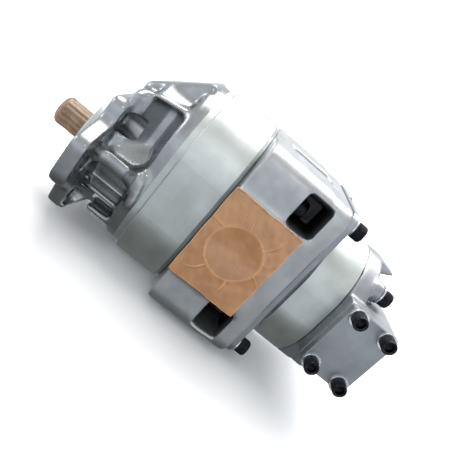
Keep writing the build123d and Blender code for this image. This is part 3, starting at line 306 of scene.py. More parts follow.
def round_bar(start, radius, length, count=72):
    """Closed bar along X as its two end rings: radius x (cos, sin) of the angle about start, (x, y, z)"""
    angle = np.arange(count) * 2 * math.pi / count
    ring = np.zeros((2, count, 3))
    ring[..., 0] = start[0] + np.array([0, length])[:, None]
    ring[..., 1] = start[1] + radius * np.cos(angle)
    ring[..., 2] = start[2] + radius * np.sin(angle)
    return ring


def capsule_bar(start_x, radius, mid_z, half, length, count=60):
    """Closed bar along X whose outline is two half circles over each other: round the outline, angle runs
    from 0 to 360 degrees and the centre is mid_z + half above and mid_z - half below"""
    angle = np.arange(2 * count) * math.pi / count
    centre = np.where(np.sin(angle) >= 0, mid_z + half, mid_z - half)
    ring = np.zeros((2, 2 * count, 3))
    ring[..., 0] = start_x + np.array([0, length])[:, None]
    ring[..., 1] = radius * np.cos(angle)
    ring[..., 2] = centre + radius * np.sin(angle)
    return ring


def bars_object(name, bars):
    """Object made of closed bars, each given as its two end rings of points: the rings are joined side by
    side and each end is closed by one face"""
    sizes = [ring.shape[1] for ring in bars]
    starts = np.cumsum([0] + [2 * size for size in sizes])
    faces = []
    for size, start in zip(sizes, starts):
        first = start + np.arange(size)
        last = first + size
        faces += [first[::-1].tolist(), last.tolist()]
        faces += np.stack([first, np.roll(first, -1), np.roll(last, -1), last], axis=-1).tolist()
    mesh = bpy.data.meshes.new(name)
    mesh.from_pydata(np.concatenate([ring.reshape(-1, 3) for ring in bars]).tolist(), [], faces)
    shape = bmesh.new()
    shape.from_mesh(mesh)
    bmesh.ops.recalc_face_normals(shape, faces=shape.faces)
    shape.to_mesh(mesh)
    shape.free()
    piece = bpy.data.objects.new(name, mesh)
    bpy.context.scene.collection.objects.link(piece)
    return piece


def applied(piece):
    """Bakes the piece's modifiers into its mesh"""
    seen = piece.evaluated_get(bpy.context.evaluated_depsgraph_get())
    mesh = bpy.data.meshes.new_from_object(seen)
    piece.modifiers.clear()
    piece.data = mesh
    return piece


def machined(piece, bars):
    """Cuts bars out of the piece, one after another, as a drill or a face mill would"""
    for ring in bars:
        cutter = bars_object("cutter", [ring])
        cut = piece.modifiers.new("cut", "BOOLEAN")
        cut.operation = "DIFFERENCE"
        cut.solver = "MANIFOLD"
        cut.object = cutter
        applied(piece)
        bpy.data.objects.remove(cutter)
    return piece


def casting(name, node, fillings, voxel, smoothing):
    """Soft-edged casting from a CAD node: its bores are filled, the skin is laid again as an even net of
    squares and each point is drawn towards its neighbours, which rounds every inner and outer corner. The
    net is then laid once more, so that no folds stay in it"""
    shape = bmesh.new()
    shape.from_mesh(nodes[node].data)
    bmesh.ops.remove_doubles(shape, verts=shape.verts, dist=1e-6)
    if fillings:
        filler = bars_object("filler", fillings)
        shape.from_mesh(filler.data)
        bpy.data.objects.remove(filler)
    mesh = bpy.data.meshes.new(name)
    shape.to_mesh(mesh)
    shape.free()
    piece = bpy.data.objects.new(name, mesh)
    bpy.context.scene.collection.objects.link(piece)
    for rounds in (smoothing, AFTER_NET):
        net = piece.modifiers.new("net", "REMESH")
        net.mode = "VOXEL"
        net.voxel_size = voxel
        soften = piece.modifiers.new("soften", "SMOOTH")
        soften.factor = 0.5
        soften.iterations = rounds
    return applied(piece)


FLANGE_HOLES = ([(y, z, FOUR_BOLT_R) for y in (-FOUR_BOLT, FOUR_BOLT) for z in (-FOUR_BOLT, FOUR_BOLT)]
                + [(y, 0, TWO_BOLT_R) for y in (-TWO_BOLT, TWO_BOLT)])
FILL = 0.0015
FILL_INSET = 0.0002
FILL_SHORT = 0.0016
BUSH_FILL_LONG = 0.028
RIM_FILL_BACK, RIM_FILL_LONG = 0.006, 0.014
HAIR = 0.0001
bracket_fill = [round_bar((FILL_INSET, y, z), r + FILL, FLANGE_THICK - FILL_SHORT)
                for y, z, r in FLANGE_HOLES]
bracket_fill += [round_bar((PILOT_FRONT, 0, 0), SEAL_BORE_R + 3 * FILL, JOINT_X - PILOT_FRONT),
                 round_bar((BUSH_BORE_START - FILL, 0, GEAR_GAP), BUSH_BORE_R + FILL, BUSH_FILL_LONG),
                 capsule_bar(JOINT_X - RIM_FILL_BACK, RIM_R - HAIR, CASE_MID_Z, CASE_HALF, RIM_FILL_LONG)]


def corner_bar(points, direction, length):
    """Closed three-sided bar: a triangle of points carried along direction by length"""
    ring = np.array(points, float)
    step = np.zeros(3)
    step["xyz".index(direction)] = length
    return np.stack([ring, ring + step])


# wide inner radii of the neck, laid in before the skin is drawn smooth: each wedge is a triangle on the
# +Y side, the way it is drawn out and how far, and it is mirrored to -Y
NECK_WALL = 0.039
WEDGES = [
    # recess floor against the neck wall
    ([(0.028, NECK_WALL, 0.018), (0.028, NECK_WALL, 0.048), (0.028, 0.070, 0.018)], "x", 0.046),
    # flange side of the recess
    ([(0.032, NECK_WALL, 0.020), (0.032, 0.058, 0.020), (0.054, NECK_WALL, 0.020)], "z", 0.083),
    # rim side of the recess
    ([(0.076, NECK_WALL, 0.020), (0.076, 0.060, 0.020), (0.062, NECK_WALL, 0.020)], "z", 0.086),
    # shelf against the top gusset
    ([(0.034, NECK_WALL, 0.108), (0.034, NECK_WALL, 0.122), (0.034, 0.055, 0.108)], "x", 0.042),
    # back of the flange against the shoulder
    ([(0.016, 0.050, 0.060), (0.016, 0.072, 0.060), (0.040, 0.050, 0.060)], "z", 0.036),
    # back of the flange against the web
    ([(0.018, 0.040, 0.002), (0.018, 0.088, 0.002), (0.040, 0.060, 0.002)], "z", 0.018)]
for side in (-1, 1):
    bracket_fill += [corner_bar(np.array(points) * (1, side, 1), direction, length)
                     for points, direction, length in WEDGES]
bracket = casting("bracket_casting", "front_bracket", bracket_fill, BRACKET_VOXEL, BRACKET_SMOOTHING)

PAST = 0.01
OVERLAP = 0.001
JOINT_CUT_DEEP = 0.05
FACE_CUT_R, FACE_CUT_DEEP = 0.2, 0.04
TIE_HOLE_DEEP, TIE_HOLE_LONG = 0.012, 0.03
spot_face_x = FLANGE_THICK - OVERLAP
bracket_cuts = [capsule_bar(JOINT_X, 2 * RIM_R, CASE_MID_Z, CASE_HALF, JOINT_CUT_DEEP),
                round_bar((-FACE_CUT_DEEP, 0, 0), FACE_CUT_R, FACE_CUT_DEEP)]
bracket_cuts += [round_bar((-PAST, y, z), r, FLANGE_THICK + 2 * PAST) for y, z, r in FLANGE_HOLES]
bracket_cuts += [round_bar((spot_face_x, y, z), SPOT_FACE_R, SPOT_FACE_END - spot_face_x)
                 for y, z, r in FLANGE_HOLES]
bracket_cuts += [round_bar((-PAST, 0, 0), SEAL_BORE_R, SEAL_BORE_END + PAST),
                 round_bar((SEAL_BORE_END - FILL, 0, 0), TUNNEL_R, JOINT_X),
                 round_bar((BUSH_BORE_START, 0, 0), BUSH_BORE_R, JOINT_X),
                 round_bar((BUSH_BORE_START, 0, GEAR_GAP), BUSH_BORE_R, JOINT_X)]
bracket_cuts += [round_bar((JOINT_X - TIE_HOLE_DEEP, y, z), TIE_R, TIE_HOLE_LONG) for y, z in TIE_POINTS]
machined(bracket, bracket_cuts)

# pilot: a turned ring, its profile (distance along the shaft, radius) carried once round the shaft axis
PILOT_CHAMFER = 0.0015
PILOT_UNDERCUT = 0.0006
RING_EDGE = 0.001
pilot_profile = np.array([
    (RING_EDGE, SEAL_BORE_R), (PILOT_FRONT + RING_EDGE, SEAL_BORE_R), (PILOT_FRONT, SEAL_BORE_R + RING_EDGE),
    (PILOT_FRONT, PILOT_R - PILOT_CHAMFER), (PILOT_FRONT + PILOT_CHAMFER, PILOT_R), (-PILOT_CHAMFER, PILOT_R),
    (-RING_EDGE, PILOT_R - PILOT_UNDERCUT), (RING_EDGE, PILOT_R - PILOT_UNDERCUT), (RING_EDGE, SEAL_BORE_R)])


def lathed(name, profile, count=144):
    """Turned piece: a profile of (x, radius) carried round the shaft axis: (y, z) = radius x (cos, sin)"""
    angle = np.arange(count) * 2 * math.pi / count
    x = np.broadcast_to(profile[:, :1], (len(profile), count))
    y = profile[:, 1:] * np.cos(angle)
    z = profile[:, 1:] * np.sin(angle)
    return grid_piece(name, np.stack([x, y, z], axis=-1), wrap_columns=True)


def closed(piece, merge=1e-6):
    """Merges doubled points and turns every face outwards"""
    shape = bmesh.new()
    shape.from_mesh(piece.data)
    bmesh.ops.remove_doubles(shape, verts=shape.verts, dist=merge)
    bmesh.ops.recalc_face_normals(shape, faces=shape.faces)
    shape.to_mesh(piece.data)
    shape.free()
    return piece


def rounded_shading(piece, degrees=32):
    """Smooth shading that stays sharp at edges steeper than the angle"""
    smooth_shaded(piece)
    piece.data.set_sharp_from_angle(angle=math.radians(degrees))


pilot = closed(lathed("pilot_ring", pilot_profile))
# the last number is the share of colour that the painted shade leaves in the hollows
CAST_BRIGHT = cast_aluminium("cast_aluminium_bright", (0.42, 0.43, 0.44), (0.32, 0.33, 0.34), 0.25, 0.33,
                             0.00001, 0.9)


def turned_aluminium(name, light, dark, rough_low, rough_high, mark):
    """Turned or bored face: fine even lines round the X axis over a blotchy grey"""
    material, tree, shader = new_finish(name, 1.0)
    lines = grain(tree, (60, 1, 1), 30, 4)
    clouds = grain(tree, (1, 1, 1), 26, 6)
    body = tones(tree, clouds, [(0.35, dark), (0.65, light)])
    streak = tones(tree, lines, [(0.30, 0.95), (0.70, 1.0)])
    tree.links.new(product(tree, body, streak), shader.inputs["Base Color"])
    tree.links.new(ranged(tree, grain(tree, (40, 1, 1), 40, 3), rough_low, rough_high),
                   shader.inputs["Roughness"])
    relief(tree, shader, lines, mark)
    return material


TURNED = turned_aluminium("turned_aluminium", (0.66, 0.69, 0.68), (0.54, 0.57, 0.55), 0.34, 0.46, 0.00001)
CASTING_EDGE = 50


def finished(piece, look):
    """Gives the piece one material in place of those it has"""
    piece.data.materials.clear()
    piece.data.materials.append(look)
    return piece


rounded_shading(finished(bracket, CAST_BRIGHT), CASTING_EDGE)
rounded_shading(finished(pilot, TURNED))
for piece in (bracket, pilot):
    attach(piece, "housing")
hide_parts("front_bracket")

# ---------------------------------------------------------------------------
# Front plate and front gear case: plate and drum are turned from cast blanks,
# with a fine lathe finish, and clamped between bracket and port block.
# ---------------------------------------------------------------------------
for name in ("front_plate", "front_gear_case"):
    finished(nodes[name], TURNED)

# ---------------------------------------------------------------------------
# Port block: a square sand casting with rounded corners, blasted all over; the
# pockets of the tie bolts keep soft lips, and painted shade darkens their insides.
# ---------------------------------------------------------------------------
BLOCK_VOXEL = 0.0021
BLOCK_SMOOTHING = 4
block = casting("port_block_casting", "port_block", [], BLOCK_VOXEL, BLOCK_SMOOTHING)
POCKET_MIDDLE_X, POCKET_REACH_X = 0.2450, 0.0185
POCKET_MIDDLE_Z, POCKET_REACH_Z = 0.0378, 0.1030
POCKET_MOUTH_Y, POCKET_INNER_Y = 0.094, 0.066


def painted_pocket_shade(material):
    """Painted shade inside the four pockets: within their x and z reach the colour fades
    from full at the mouth to nearly black at the inner depth, by the distance |y| from the middle plane"""
    tree = material.node_tree
    shader = tree.nodes["Principled BSDF"]
    place = tree.nodes.new("ShaderNodeTexCoord")
    split = tree.nodes.new("ShaderNodeSeparateXYZ")
    tree.links.new(place.outputs["Object"], split.inputs["Vector"])

    def near(value, middle, reach):
        """1 where the value is within reach of middle, 0 elsewhere"""
        node = tree.nodes.new("ShaderNodeMath")
        node.operation = "COMPARE"
        node.inputs[1].default_value = middle
        node.inputs[2].default_value = reach
        tree.links.new(value, node.inputs[0])
        return node.outputs[0]

    def combined(operation, first, second=None):
        """Result of one step of arithmetic on one or two values"""
        node = tree.nodes.new("ShaderNodeMath")
        node.operation = operation
        tree.links.new(first, node.inputs[0])
        if second is not None:
            tree.links.new(second, node.inputs[1])
        return node.outputs[0]

    inside = combined("MULTIPLY", near(split.outputs["X"], POCKET_MIDDLE_X, POCKET_REACH_X),
                      near(split.outputs["Z"], POCKET_MIDDLE_Z, POCKET_REACH_Z))
    depth = tree.nodes.new("ShaderNodeMapRange")
    depth.inputs["From Min"].default_value = POCKET_MOUTH_Y
    depth.inputs["From Max"].default_value = POCKET_INNER_Y
    tree.links.new(combined("ABSOLUTE", split.outputs["Y"]), depth.inputs["Value"])
    # painted shade: inside the pockets the colour darkens towards their inner depth
    shade = tones(tree, combined("MULTIPLY", inside, depth.outputs["Result"]),
                  [(0.0, 1.0), (0.4, 0.75), (0.8, 0.25), (1.0, 0.10)])
    skin = shader.inputs["Base Color"].links[0].from_socket
    tree.links.new(product(tree, skin, shade), shader.inputs["Base Color"])
    return material


# the block's cast colour, with painted shade in its hollows and inside the pockets
BLOCK_SKIN_WITH_POCKET_SHADE = painted_pocket_shade(cast_aluminium(
    "cast_aluminium_block", (0.52, 0.53, 0.54), (0.41, 0.42, 0.43), 0.38, 0.50, 0.00005, 0.7))
rounded_shading(finished(block, BLOCK_SKIN_WITH_POCKET_SHADE), CASTING_EDGE)
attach(block, "housing")
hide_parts("port_block")

# ---------------------------------------------------------------------------
# Adapter plate and rear gear case: milled plate and turned drum of the rear
# stage, bolted on behind the port block.
# ---------------------------------------------------------------------------


def milled_aluminium(name, light, dark, rough_low, rough_high):
    """Milled face: straight cutter lines along Z, a little clouding"""
    material, tree, shader = new_finish(name, 1.0)
    lines = grain(tree, (30, 30, 1), 30, 3)
    clouds = grain(tree, (1, 1, 1), 30, 3)
    body = tones(tree, clouds, [(0.35, dark), (0.65, light)])
    tree.links.new(product(tree, body, tones(tree, lines, [(0.3, 0.92), (0.7, 1.0)])),
                   shader.inputs["Base Color"])
    tree.links.new(ranged(tree, lines, rough_low, rough_high), shader.inputs["Roughness"])
    relief(tree, shader, lines, 0.00002)
    return material


MILLED = milled_aluminium("milled_aluminium", (0.41, 0.42, 0.44), (0.33, 0.34, 0.36), 0.36, 0.50)
finished(nodes["adapter_plate"], MILLED)
finished(nodes["rear_gear_case"], TURNED)

# ---------------------------------------------------------------------------
# Rear cover: closing casting of the rear stage, blasted, with four bolt ears and
# a port block on either side.
# ---------------------------------------------------------------------------
COVER_VOXEL = 0.0017
COVER_SMOOTHING = 9
cover = casting("rear_cover_casting", "rear_cover", [], COVER_VOXEL, COVER_SMOOTHING)
# the last number is the share of colour that the painted shade leaves in the hollows
CAST_SATIN = cast_aluminium("cast_aluminium_satin", (0.44, 0.45, 0.47), (0.34, 0.35, 0.37), 0.38, 0.50,
                            0.00005, 0.7)
rounded_shading(finished(cover, CAST_SATIN), CASTING_EDGE)
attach(cover, "housing")
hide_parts("rear_cover")

# ---------------------------------------------------------------------------
# Port cover plate: sawn and face-milled plate that blanks the rear suction port,
# held by four M12 screws.
# ---------------------------------------------------------------------------
finished(nodes["port_cover_plate"], MILLED)

# ---------------------------------------------------------------------------
# Shafts, gears and dowel pins: case-hardened steel, ground on journals, teeth and
# pin surfaces.
# ---------------------------------------------------------------------------


def ground_steel(name, light, dark, rough):
    """Ground steel: fine lines round the X axis and faint straw-coloured clouds"""
    material, tree, shader = new_finish(name, 1.0)
    lines = grain(tree, (80, 1, 1), 30, 3)
    clouds = grain(tree, (1, 1, 1), 40, 2)
    body = tones(tree, clouds, [(0.35, dark), (0.65, light)])
    tree.links.new(product(tree, body, tones(tree, lines, [(0.3, 0.9), (0.7, 1.0)])),
                   shader.inputs["Base Color"])
    tree.links.new(ranged(tree, lines, rough, rough + 0.12), shader.inputs["Roughness"])
    relief(tree, shader, lines, 0.00001)
    return material


GROUND_STEEL = ground_steel("ground_steel", (0.60, 0.60, 0.61), (0.52, 0.51, 0.49), 0.22)
for name in ("drive_shaft", "driven_gear", "coupling_sleeve", "rear_drive_gear", "rear_driven_gear",
             "dowel_pins"):
    finished(nodes[name], GROUND_STEEL)

# ---------------------------------------------------------------------------
# Bushes, wear plates and retaining ring: steel-backed bushes and lead-bronze
# plates, bored and faced, pressed or laid into the housings, and a steel ring.
# ---------------------------------------------------------------------------
BUSH_STEEL = ground_steel("bush_steel", (0.55, 0.52, 0.47), (0.47, 0.43, 0.38), 0.3)
BRONZE = ground_steel("lead_bronze", (0.66, 0.47, 0.24), (0.55, 0.37, 0.18), 0.3)
for name, look in (("front_stage_bushes", BUSH_STEEL), ("rear_stage_bushes", BUSH_STEEL),
                   ("front_stage_wear_plates", BRONZE), ("rear_stage_wear_plates", BRONZE),
                   ("retaining_ring", BUSH_STEEL)):
    finished(nodes[name], look)

# ---------------------------------------------------------------------------
# Seals: moulded nitrile rubber, matt black; the shaft seals and the rings in the
# joint faces.
# ---------------------------------------------------------------------------


def nitrile_rubber(name):
    """Black rubber: faint grey bloom and a fine moulded grain"""
    material, tree, shader = new_finish(name, 0.0)
    bloom = grain(tree, (1, 1, 1), 90, 3)
    tree.links.new(tones(tree, bloom, [(0.3, 0.012), (0.75, 0.03)]), shader.inputs["Base Color"])
    tree.links.new(ranged(tree, bloom, 0.5, 0.7), shader.inputs["Roughness"])
    relief(tree, shader, grain(tree, (1, 1, 1), 900, 2), 0.00003)
    return material


RUBBER = nitrile_rubber("nitrile_rubber")
for name in ("shaft_seals", "front_case_seals", "rear_case_seals", "port_cover_seal"):
    finished(nodes[name], RUBBER)

# ---------------------------------------------------------------------------
# Socket head screws: forged alloy steel, black oxide, with a knurled head and a
# hexagon socket; six tie bolts, eight M14 screws and four M12 screws.
# ---------------------------------------------------------------------------
WASHER_THICK = 0.0025
TIE_SEAT = 0.228
TIE_LENGTH = 0.148
ADAPTER_SPIGOT = 0.004
CORNER_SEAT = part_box("adapter_plate")[1].x - ADAPTER_SPIGOT + WASHER_THICK
CORNER_POINTS = [(-0.068, 0.134), (0.068, 0.134), (-0.068, -0.069), (0.068, -0.069)]
EAR_BACK = 0.383
COVER_SEAT = EAR_BACK + WASHER_THICK
COVER_POINTS = [(-0.045, 0.090), (0.045, 0.090), (-0.045, -0.036), (0.045, -0.036)]
PLATE_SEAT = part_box("port_cover_plate")[0].y - WASHER_THICK
PLATE_X, PLATE_Z = 0.384, 0.0285
PLATE_ACROSS, PLATE_UP = 0.0429, 0.0778
PLATE_POINTS = [(PLATE_X + 0.5 * a * PLATE_ACROSS, PLATE_Z + 0.5 * b * PLATE_UP)
                for a in (-1, 1) for b in (-1, 1)]
SCREW_EDGE = 38
SCREW_TURN = 0.37
KNURLS = 40
AROUND = 4 * KNURLS
KNURL_DEPTH = 0.00045


def socket_screw(length, shank_r, head_r, head_high, key, turned_by):
    """Points of one screw along its own axis, rows along the profile and columns round it. The profile is
    (height, radius, knurl, hexagon): the knurl takes depth x (1 - |sin(knurls x angle / 2)|) off the
    radius, and hexagon 1 puts the point on a hexagon, radius / cos(angle within its 60 degrees)"""
    inner = key / 2
    profile = np.array([
        (-length, 0.0, 0, 0), (-length, shank_r * 0.8, 0, 0), (-length + shank_r * 0.2, shank_r, 0, 0),
        (-0.004, shank_r, 0, 0), (0.0, shank_r + 0.0008, 0, 0), (0.0, head_r * 0.93, 0, 0),
        (0.0006, head_r * 0.985, 0, 0), (0.0012, head_r, 1, 0), (head_high - 0.0026, head_r, 1, 0),
        (head_high - 0.0021, head_r * 0.985, 0, 0), (head_high - 0.0008, head_r * 0.965, 0, 0),
        (head_high, head_r * 0.90, 0, 0), (head_high, inner * 1.24, 0, 0),
        (head_high - 0.0005, inner * 1.02, 0, 0.6), (head_high - 0.0009, inner, 0, 1),
        (head_high * 0.5, inner, 0, 1), (head_high * 0.44, inner * 0.5, 0, 0.3),
        (head_high * 0.42, 0.0, 0, 0)])
    angle = np.arange(AROUND) * 2 * math.pi / AROUND
    groove = 1 - np.abs(np.sin(KNURLS * angle / 2))
    sixth = math.pi / 3
    hexagon = 1 / np.cos((angle + turned_by) % sixth - sixth / 2)
    height, radius, knurl, six = (profile[:, k, None] for k in range(4))
    radius = radius - knurl * KNURL_DEPTH * groove
    radius = radius * (1 + six * (hexagon - 1))
    return np.stack([radius * np.cos(angle), radius * np.sin(angle), height + 0 * angle], axis=-1)


def screw_set(name, node, places, size):
    """All screws of one kind as one piece: each place is (point, along), and along is the way its head
    looks; each screw is turned a little further than the one before"""
    ways = {"x": ((0, 1, 0), (0, 0, 1), (1, 0, 0)), "-y": ((1, 0, 0), (0, 0, 1), (0, -1, 0))}
    parts = []
    for number, (point, along) in enumerate(places):
        own = socket_screw(*size, turned_by=SCREW_TURN * number)
        placed = own @ np.array(ways[along], float) + np.array(point, float)
        parts.append(grid_piece(name + "_part", placed, wrap_columns=True))
    shape = bmesh.new()
    for part in parts:
        shape.from_mesh(part.data)
        bpy.data.objects.remove(part)
    bmesh.ops.remove_doubles(shape, verts=shape.verts, dist=1e-6)
    bmesh.ops.recalc_face_normals(shape, faces=shape.faces)
    mesh = bpy.data.meshes.new(name)
    shape.to_mesh(mesh)
    shape.free()
    piece = bpy.data.objects.new(name, mesh)
    bpy.context.scene.collection.objects.link(piece)
    rounded_shading(finished(piece, BLACK_OXIDE), SCREW_EDGE)
    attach(piece, "housing")
    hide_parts(node)
    return piece


def black_oxide(name):
    """Oil-blackened steel: near black, bare steel glinting on the knurl crests and edges"""
    material, tree, shader = new_finish(name, 1.0)
    curvature = tree.nodes.new("ShaderNodeNewGeometry").outputs["Pointiness"]
    clouds = grain(tree, (1, 1, 1), 260, 3)
    body = tones(tree, clouds, [(0.3, (0.010, 0.010, 0.012)), (0.7, (0.030, 0.030, 0.034))])
    edges = tones(tree, curvature, [(0.50, 1.0), (0.60, 1.6)])
    tree.links.new(product(tree, body, edges), shader.inputs["Base Color"])
    tree.links.new(ranged(tree, clouds, 0.30, 0.45), shader.inputs["Roughness"])
    relief(tree, shader, grain(tree, (1, 1, 1), 1800, 2), 0.00002)
    return material


BLACK_OXIDE = black_oxide("black_oxide")
screw_set("tie_bolt_set", "tie_bolts", [((TIE_SEAT, y, z), "x") for y, z in TIE_POINTS],
          (TIE_LENGTH, 0.008, 0.012, 0.016, 0.014))
screw_set("corner_bolt_set", "corner_bolts", [((CORNER_SEAT, y, z), "x") for y, z in CORNER_POINTS],
          (0.030, 0.007, 0.0105, 0.014, 0.012))
screw_set("cover_bolt_set", "cover_bolts", [((COVER_SEAT, y, z), "x") for y, z in COVER_POINTS],
          (0.120, 0.007, 0.0105, 0.014, 0.012))
screw_set("plate_screw_set", "plate_screws", [((x, PLATE_SEAT, z), "-y") for x, z in PLATE_POINTS],
          (0.032, 0.006, 0.009, 0.012, 0.010))

# ---------------------------------------------------------------------------
# Washers: pressed steel, bright zinc, under the heads of the M14 and M12 screws;
# the tie bolts have none.
# ---------------------------------------------------------------------------


def bright_zinc(name):
    """Zinc plating: bluish silver with a faint spangle"""
    material, tree, shader = new_finish(name, 1.0)
    spangle = grain(tree, (1, 1, 1), 420, 2)
    tree.links.new(tones(tree, spangle, [(0.35, (0.62, 0.65, 0.70)), (0.65, (0.82, 0.84, 0.86))]),
                   shader.inputs["Base Color"])
    tree.links.new(ranged(tree, spangle, 0.18, 0.32), shader.inputs["Roughness"])
    relief(tree, shader, spangle, 0.00001)
    return material


ZINC = bright_zinc("bright_zinc")
for name in ("m14_washers", "plate_washers"):
    finished(nodes[name], ZINC)

# ---------------------------------------------------------------------------
# Suction port tape: glossy tan packing tape stuck over the big port for
# transport; it dips into the port and has creases running out from the dent.
# ---------------------------------------------------------------------------
TAPE_THICK = 0.00035
DENT_DEPTH = 0.0060
PORT_R = 0.0317
TAPE_LOW, TAPE_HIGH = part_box("suction_tape")
TAPE_ROWS, TAPE_COLUMNS = 230, 172
PORT_FACE_Y = -0.102
GLUE = 0.0002
# creases: (angle, inner and outer end as a share of the port's radius, height as a share)
CREASES = [(0.42, 1.02, 1.35, 0.9), (0.95, 0.95, 1.9, 0.5), (1.30, 1.05, 1.3, 0.8), (1.78, 1.00, 1.5, 1.2),
           (2.10, 1.10, 1.4, 0.5), (2.62, 1.00, 1.9, 0.7), (3.55, 0.95, 1.25, 0.6), (4.10, 1.05, 1.9, 1.0),
           (4.42, 0.95, 1.3, 0.5), (5.02, 1.00, 1.7, 1.1), (6.10, 0.98, 1.6, 1.2)]
CREASE_HIGH = 0.0009
CREASE_BEND = 0.10
CREASE_WIDE, CREASE_VARIES = 0.0011, 0.0006
CREASE_FADE_IN, CREASE_FADE_OUT = 0.15, 0.5


def crease_field(radius, angle):
    """Sum of narrow ridges that run outwards from the dent: each is high x exp(-(sideways distance /
    width)^2), and fades in and out between its inner and outer radius"""
    total = np.zeros_like(radius)
    for at, inner, outer, high in CREASES:
        share = radius / PORT_R
        bend = at + CREASE_BEND * np.sin(share * 3 + at)
        sideways = radius * np.sin(angle - bend)
        ahead = np.cos(angle - bend) > 0
        width = CREASE_WIDE + CREASE_VARIES * math.sin(3 * at)
        starts = np.clip((share - inner) / CREASE_FADE_IN, 0, 1)
        ends = np.clip((outer - share) / CREASE_FADE_OUT, 0, 1)
        total += ahead * high * np.exp(-(sideways / width) ** 2) * starts * ends
    return total


def ripple(x, z, waves):
    """Soft random ripple: a sum of sine waves, each (cycles per metre along x, along z, phase, high)"""
    return sum(high * np.sin(2 * math.pi * (kx * x + kz * z) + phase) for kx, kz, phase, high in waves)


def solid_film(piece):
    """Gives a sheet of tape its thickness, inwards"""
    thick = piece.modifiers.new("thick", "SOLIDIFY")
    thick.thickness = TAPE_THICK
    thick.offset = -1
    return applied(piece)


RIPPLE_RATE = 90
RIPPLE_LOW, RIPPLE_HIGH = 0.00001, 0.00005
RIPPLE_WAVES = 14
rng = np.random.default_rng(7)
ripple_waves = [(rng.uniform(-RIPPLE_RATE, RIPPLE_RATE), rng.uniform(-RIPPLE_RATE, RIPPLE_RATE),
                 rng.uniform(0, 6.3), rng.uniform(RIPPLE_LOW, RIPPLE_HIGH)) for _ in range(RIPPLE_WAVES)]
u = np.linspace(0, 1, TAPE_COLUMNS)[None, :]
v = np.linspace(0, 1, TAPE_ROWS)[:, None]
tape_x = TAPE_LOW.x + (TAPE_HIGH.x - TAPE_LOW.x) * u + 0 * v
tape_z = TAPE_LOW.z + (TAPE_HIGH.z - TAPE_LOW.z) * v + 0 * u
# hand-torn edges: slow waves along each edge, which die out towards the middle of the tape
edge_waves = 0.00025 * np.sin(260 * tape_x) + 0.0004 * np.sin(110 * tape_x + 1)
tape_z = tape_z + edge_waves * (v ** 6 - (1 - v) ** 6)
tape_x = tape_x + 0.0003 * np.sin(150 * tape_z) * (u ** 8 + (1 - u) ** 8)
port_dx = tape_x - (TAPE_LOW.x + TAPE_HIGH.x) / 2
port_dz = tape_z - (TAPE_LOW.z + TAPE_HIGH.z) / 2
port_r = np.hypot(port_dx, port_dz)
port_angle = np.arctan2(port_dz, port_dx)
share = np.clip(port_r / PORT_R, 0, 1)
# the dent is a flat-bottomed bowl: depth x (1 - share^5), a little deeper in its middle
dent = DENT_DEPTH * (1 - share ** 5) * (0.55 + 0.45 * (1 - share ** 2))
uneven = 0.55 + 0.30 * np.sin(2 * port_angle + 0.6) + 0.25 * np.sin(5 * port_angle + 2)
RIM_HIGH, RIM_AT, RIM_WIDE = 0.0011, 1.05 * PORT_R, 0.0021
rim_bulge = RIM_HIGH * uneven * np.exp(-((port_r - RIM_AT) / RIM_WIDE) ** 2)
creases = CREASE_HIGH * crease_field(port_r, port_angle)
# the top edge has come unstuck here and there
LIFT_HIGH, LIFT_SHARE, LIFT_RATE = 0.0012, 0.015, 376.8
lift = LIFT_HIGH * np.clip((v - 1 + LIFT_SHARE) / LIFT_SHARE, 0, 1) * (0.5 + 0.5 * np.sin(LIFT_RATE * tape_x))
outwards = TAPE_THICK + rim_bulge + creases + lift + ripple(tape_x, tape_z, ripple_waves) - dent
tape_y = PORT_FACE_Y - outwards - GLUE
suction_film = grid_piece("suction_port_film", np.stack([tape_x, tape_y, tape_z], axis=-1))
closed(solid_film(suction_film), 1e-7)
smooth_shaded(suction_film)


def packing_tape(name, light, dark, coat):
    """Glossy brown film over glue: cloudy tan, painted highlights on the crease crests and painted shade in
    the folds, a clear coat on top
    """
    material, tree, shader = new_finish(name, 0.0)
    clouds = grain(tree, (1, 1, 1), 55, 4)
    curvature = tree.nodes.new("ShaderNodeNewGeometry").outputs["Pointiness"]
    body = tones(tree, clouds, [(0.34, dark), (0.66, light)])
    # painted highlight on sharp crests and painted shade in the folds, read from the curvature
    painted_crease_light_and_shade = tones(tree, curvature, [(0.46, 0.80), (0.50, 1.0), (0.54, 1.7)])
    tree.links.new(product(tree, body, painted_crease_light_and_shade), shader.inputs["Base Color"])
    tree.links.new(ranged(tree, grain(tree, (1, 1, 1), 140, 3), 0.26, 0.42), shader.inputs["Roughness"])
    shader.inputs["Coat Weight"].default_value = coat
    shader.inputs["Coat Roughness"].default_value = 0.10
    relief(tree, shader, grain(tree, (1, 1, 1), 300, 3), 0.00006)
    return material


SUCTION_FILM = packing_tape("tan_packing_tape", (0.38, 0.185, 0.072), (0.30, 0.140, 0.050), 0.9)
finished(suction_film, SUCTION_FILM)
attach(suction_film, "housing")
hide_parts("suction_tape")

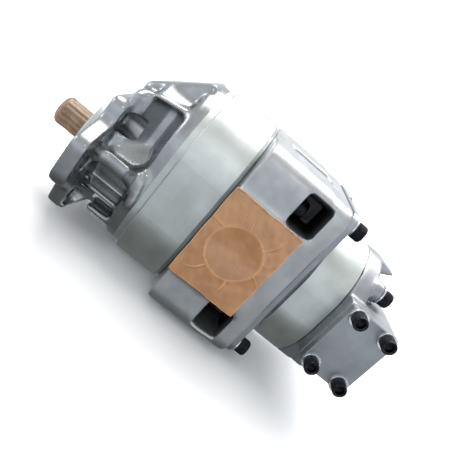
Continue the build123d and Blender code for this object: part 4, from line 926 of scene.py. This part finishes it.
# ---------------------------------------------------------------------------
# Shaft tape: the splined end wrapped in tan tape, drawn down between the teeth
# and folded over the tip.
# ---------------------------------------------------------------------------
SPLINE_TEETH = 17
SHAFT_LOW, SHAFT_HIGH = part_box("shaft_tape")
WRAP_R = SHAFT_HIGH.z
WRAP_FOLDS = 0.0009
WRAP_ROWS, WRAP_COLUMNS = 90, 12 * SPLINE_TEETH
TOOTH_FADE = 0.004
GROOVE_DEEP, RIDGE_HIGH = 0.0011, 0.0008
TIP_GAP = 0.0006
LAP_STEP, LAP_PITCH, LAP_FADE = 0.00025, 0.021, 0.003
TORN, TORN_FROM = 0.0003, 0.96
wrap_s = np.linspace(0, 1, WRAP_ROWS)[:, None]
wrap_angle = (np.arange(WRAP_COLUMNS) * 2 * math.pi / WRAP_COLUMNS)[None, :]
TIP_ROUND = 0.006
tip_length = TIP_ROUND * math.pi / 2
flat_length = WRAP_R - TIP_ROUND
side_length = SHAFT_HIGH.x - SHAFT_LOW.x - TIP_ROUND
# each row is a distance travelled over the tape: across the tip, round its edge, then along the shaft
travel = wrap_s * (flat_length + tip_length + side_length)
bend = np.clip((travel - flat_length) / TIP_ROUND, 0, math.pi / 2)
along = np.clip(travel - flat_length - tip_length, 0, None)
wrap_r = np.clip(travel, 0, flat_length) + TIP_ROUND * np.sin(bend)
wrap_x = SHAFT_LOW.x + TIP_GAP + TIP_ROUND * (1 - np.cos(bend)) + along
# the tape is drawn down between the teeth: a ridge stands over each tooth
fade = np.clip(along / TOOTH_FADE, 0, 1)
ridge = fade * (0.5 + 0.5 * np.cos(SPLINE_TEETH * wrap_angle))
wrap_r = wrap_r - GROOVE_DEEP * fade + RIDGE_HIGH * ridge
# folds across the tip, a torn edge at the flange end, and the steps of the overlapping turns
tip_share = np.clip(travel / flat_length, 0, 1)
tip_fold = WRAP_FOLDS * np.sin(7 * wrap_angle + 9 * wrap_s) * np.sin(tip_share * math.pi)
wrap_x = wrap_x + tip_fold - TORN * np.cos(3 * wrap_angle) * (along > side_length * TORN_FROM)
overlap_step = LAP_STEP * (np.mod(along / LAP_PITCH + wrap_angle / (2 * math.pi), 1.0) > 0.5)
wrap_r = wrap_r + overlap_step * np.clip(along / LAP_FADE, 0, 1)
shaft_film = grid_piece("shaft_wrap_film", np.stack([
    wrap_x, wrap_r * np.cos(wrap_angle), wrap_r * np.sin(wrap_angle)], axis=-1), wrap_columns=True)
closed(shaft_film)
smooth_shaded(solid_film(shaft_film))
SHAFT_FILM = packing_tape("tan_wrapping_tape", (0.26, 0.165, 0.095), (0.14, 0.085, 0.048), 0.2)
finished(shaft_film, SHAFT_FILM)
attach(shaft_film, "drive_train")
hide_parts("shaft_tape")
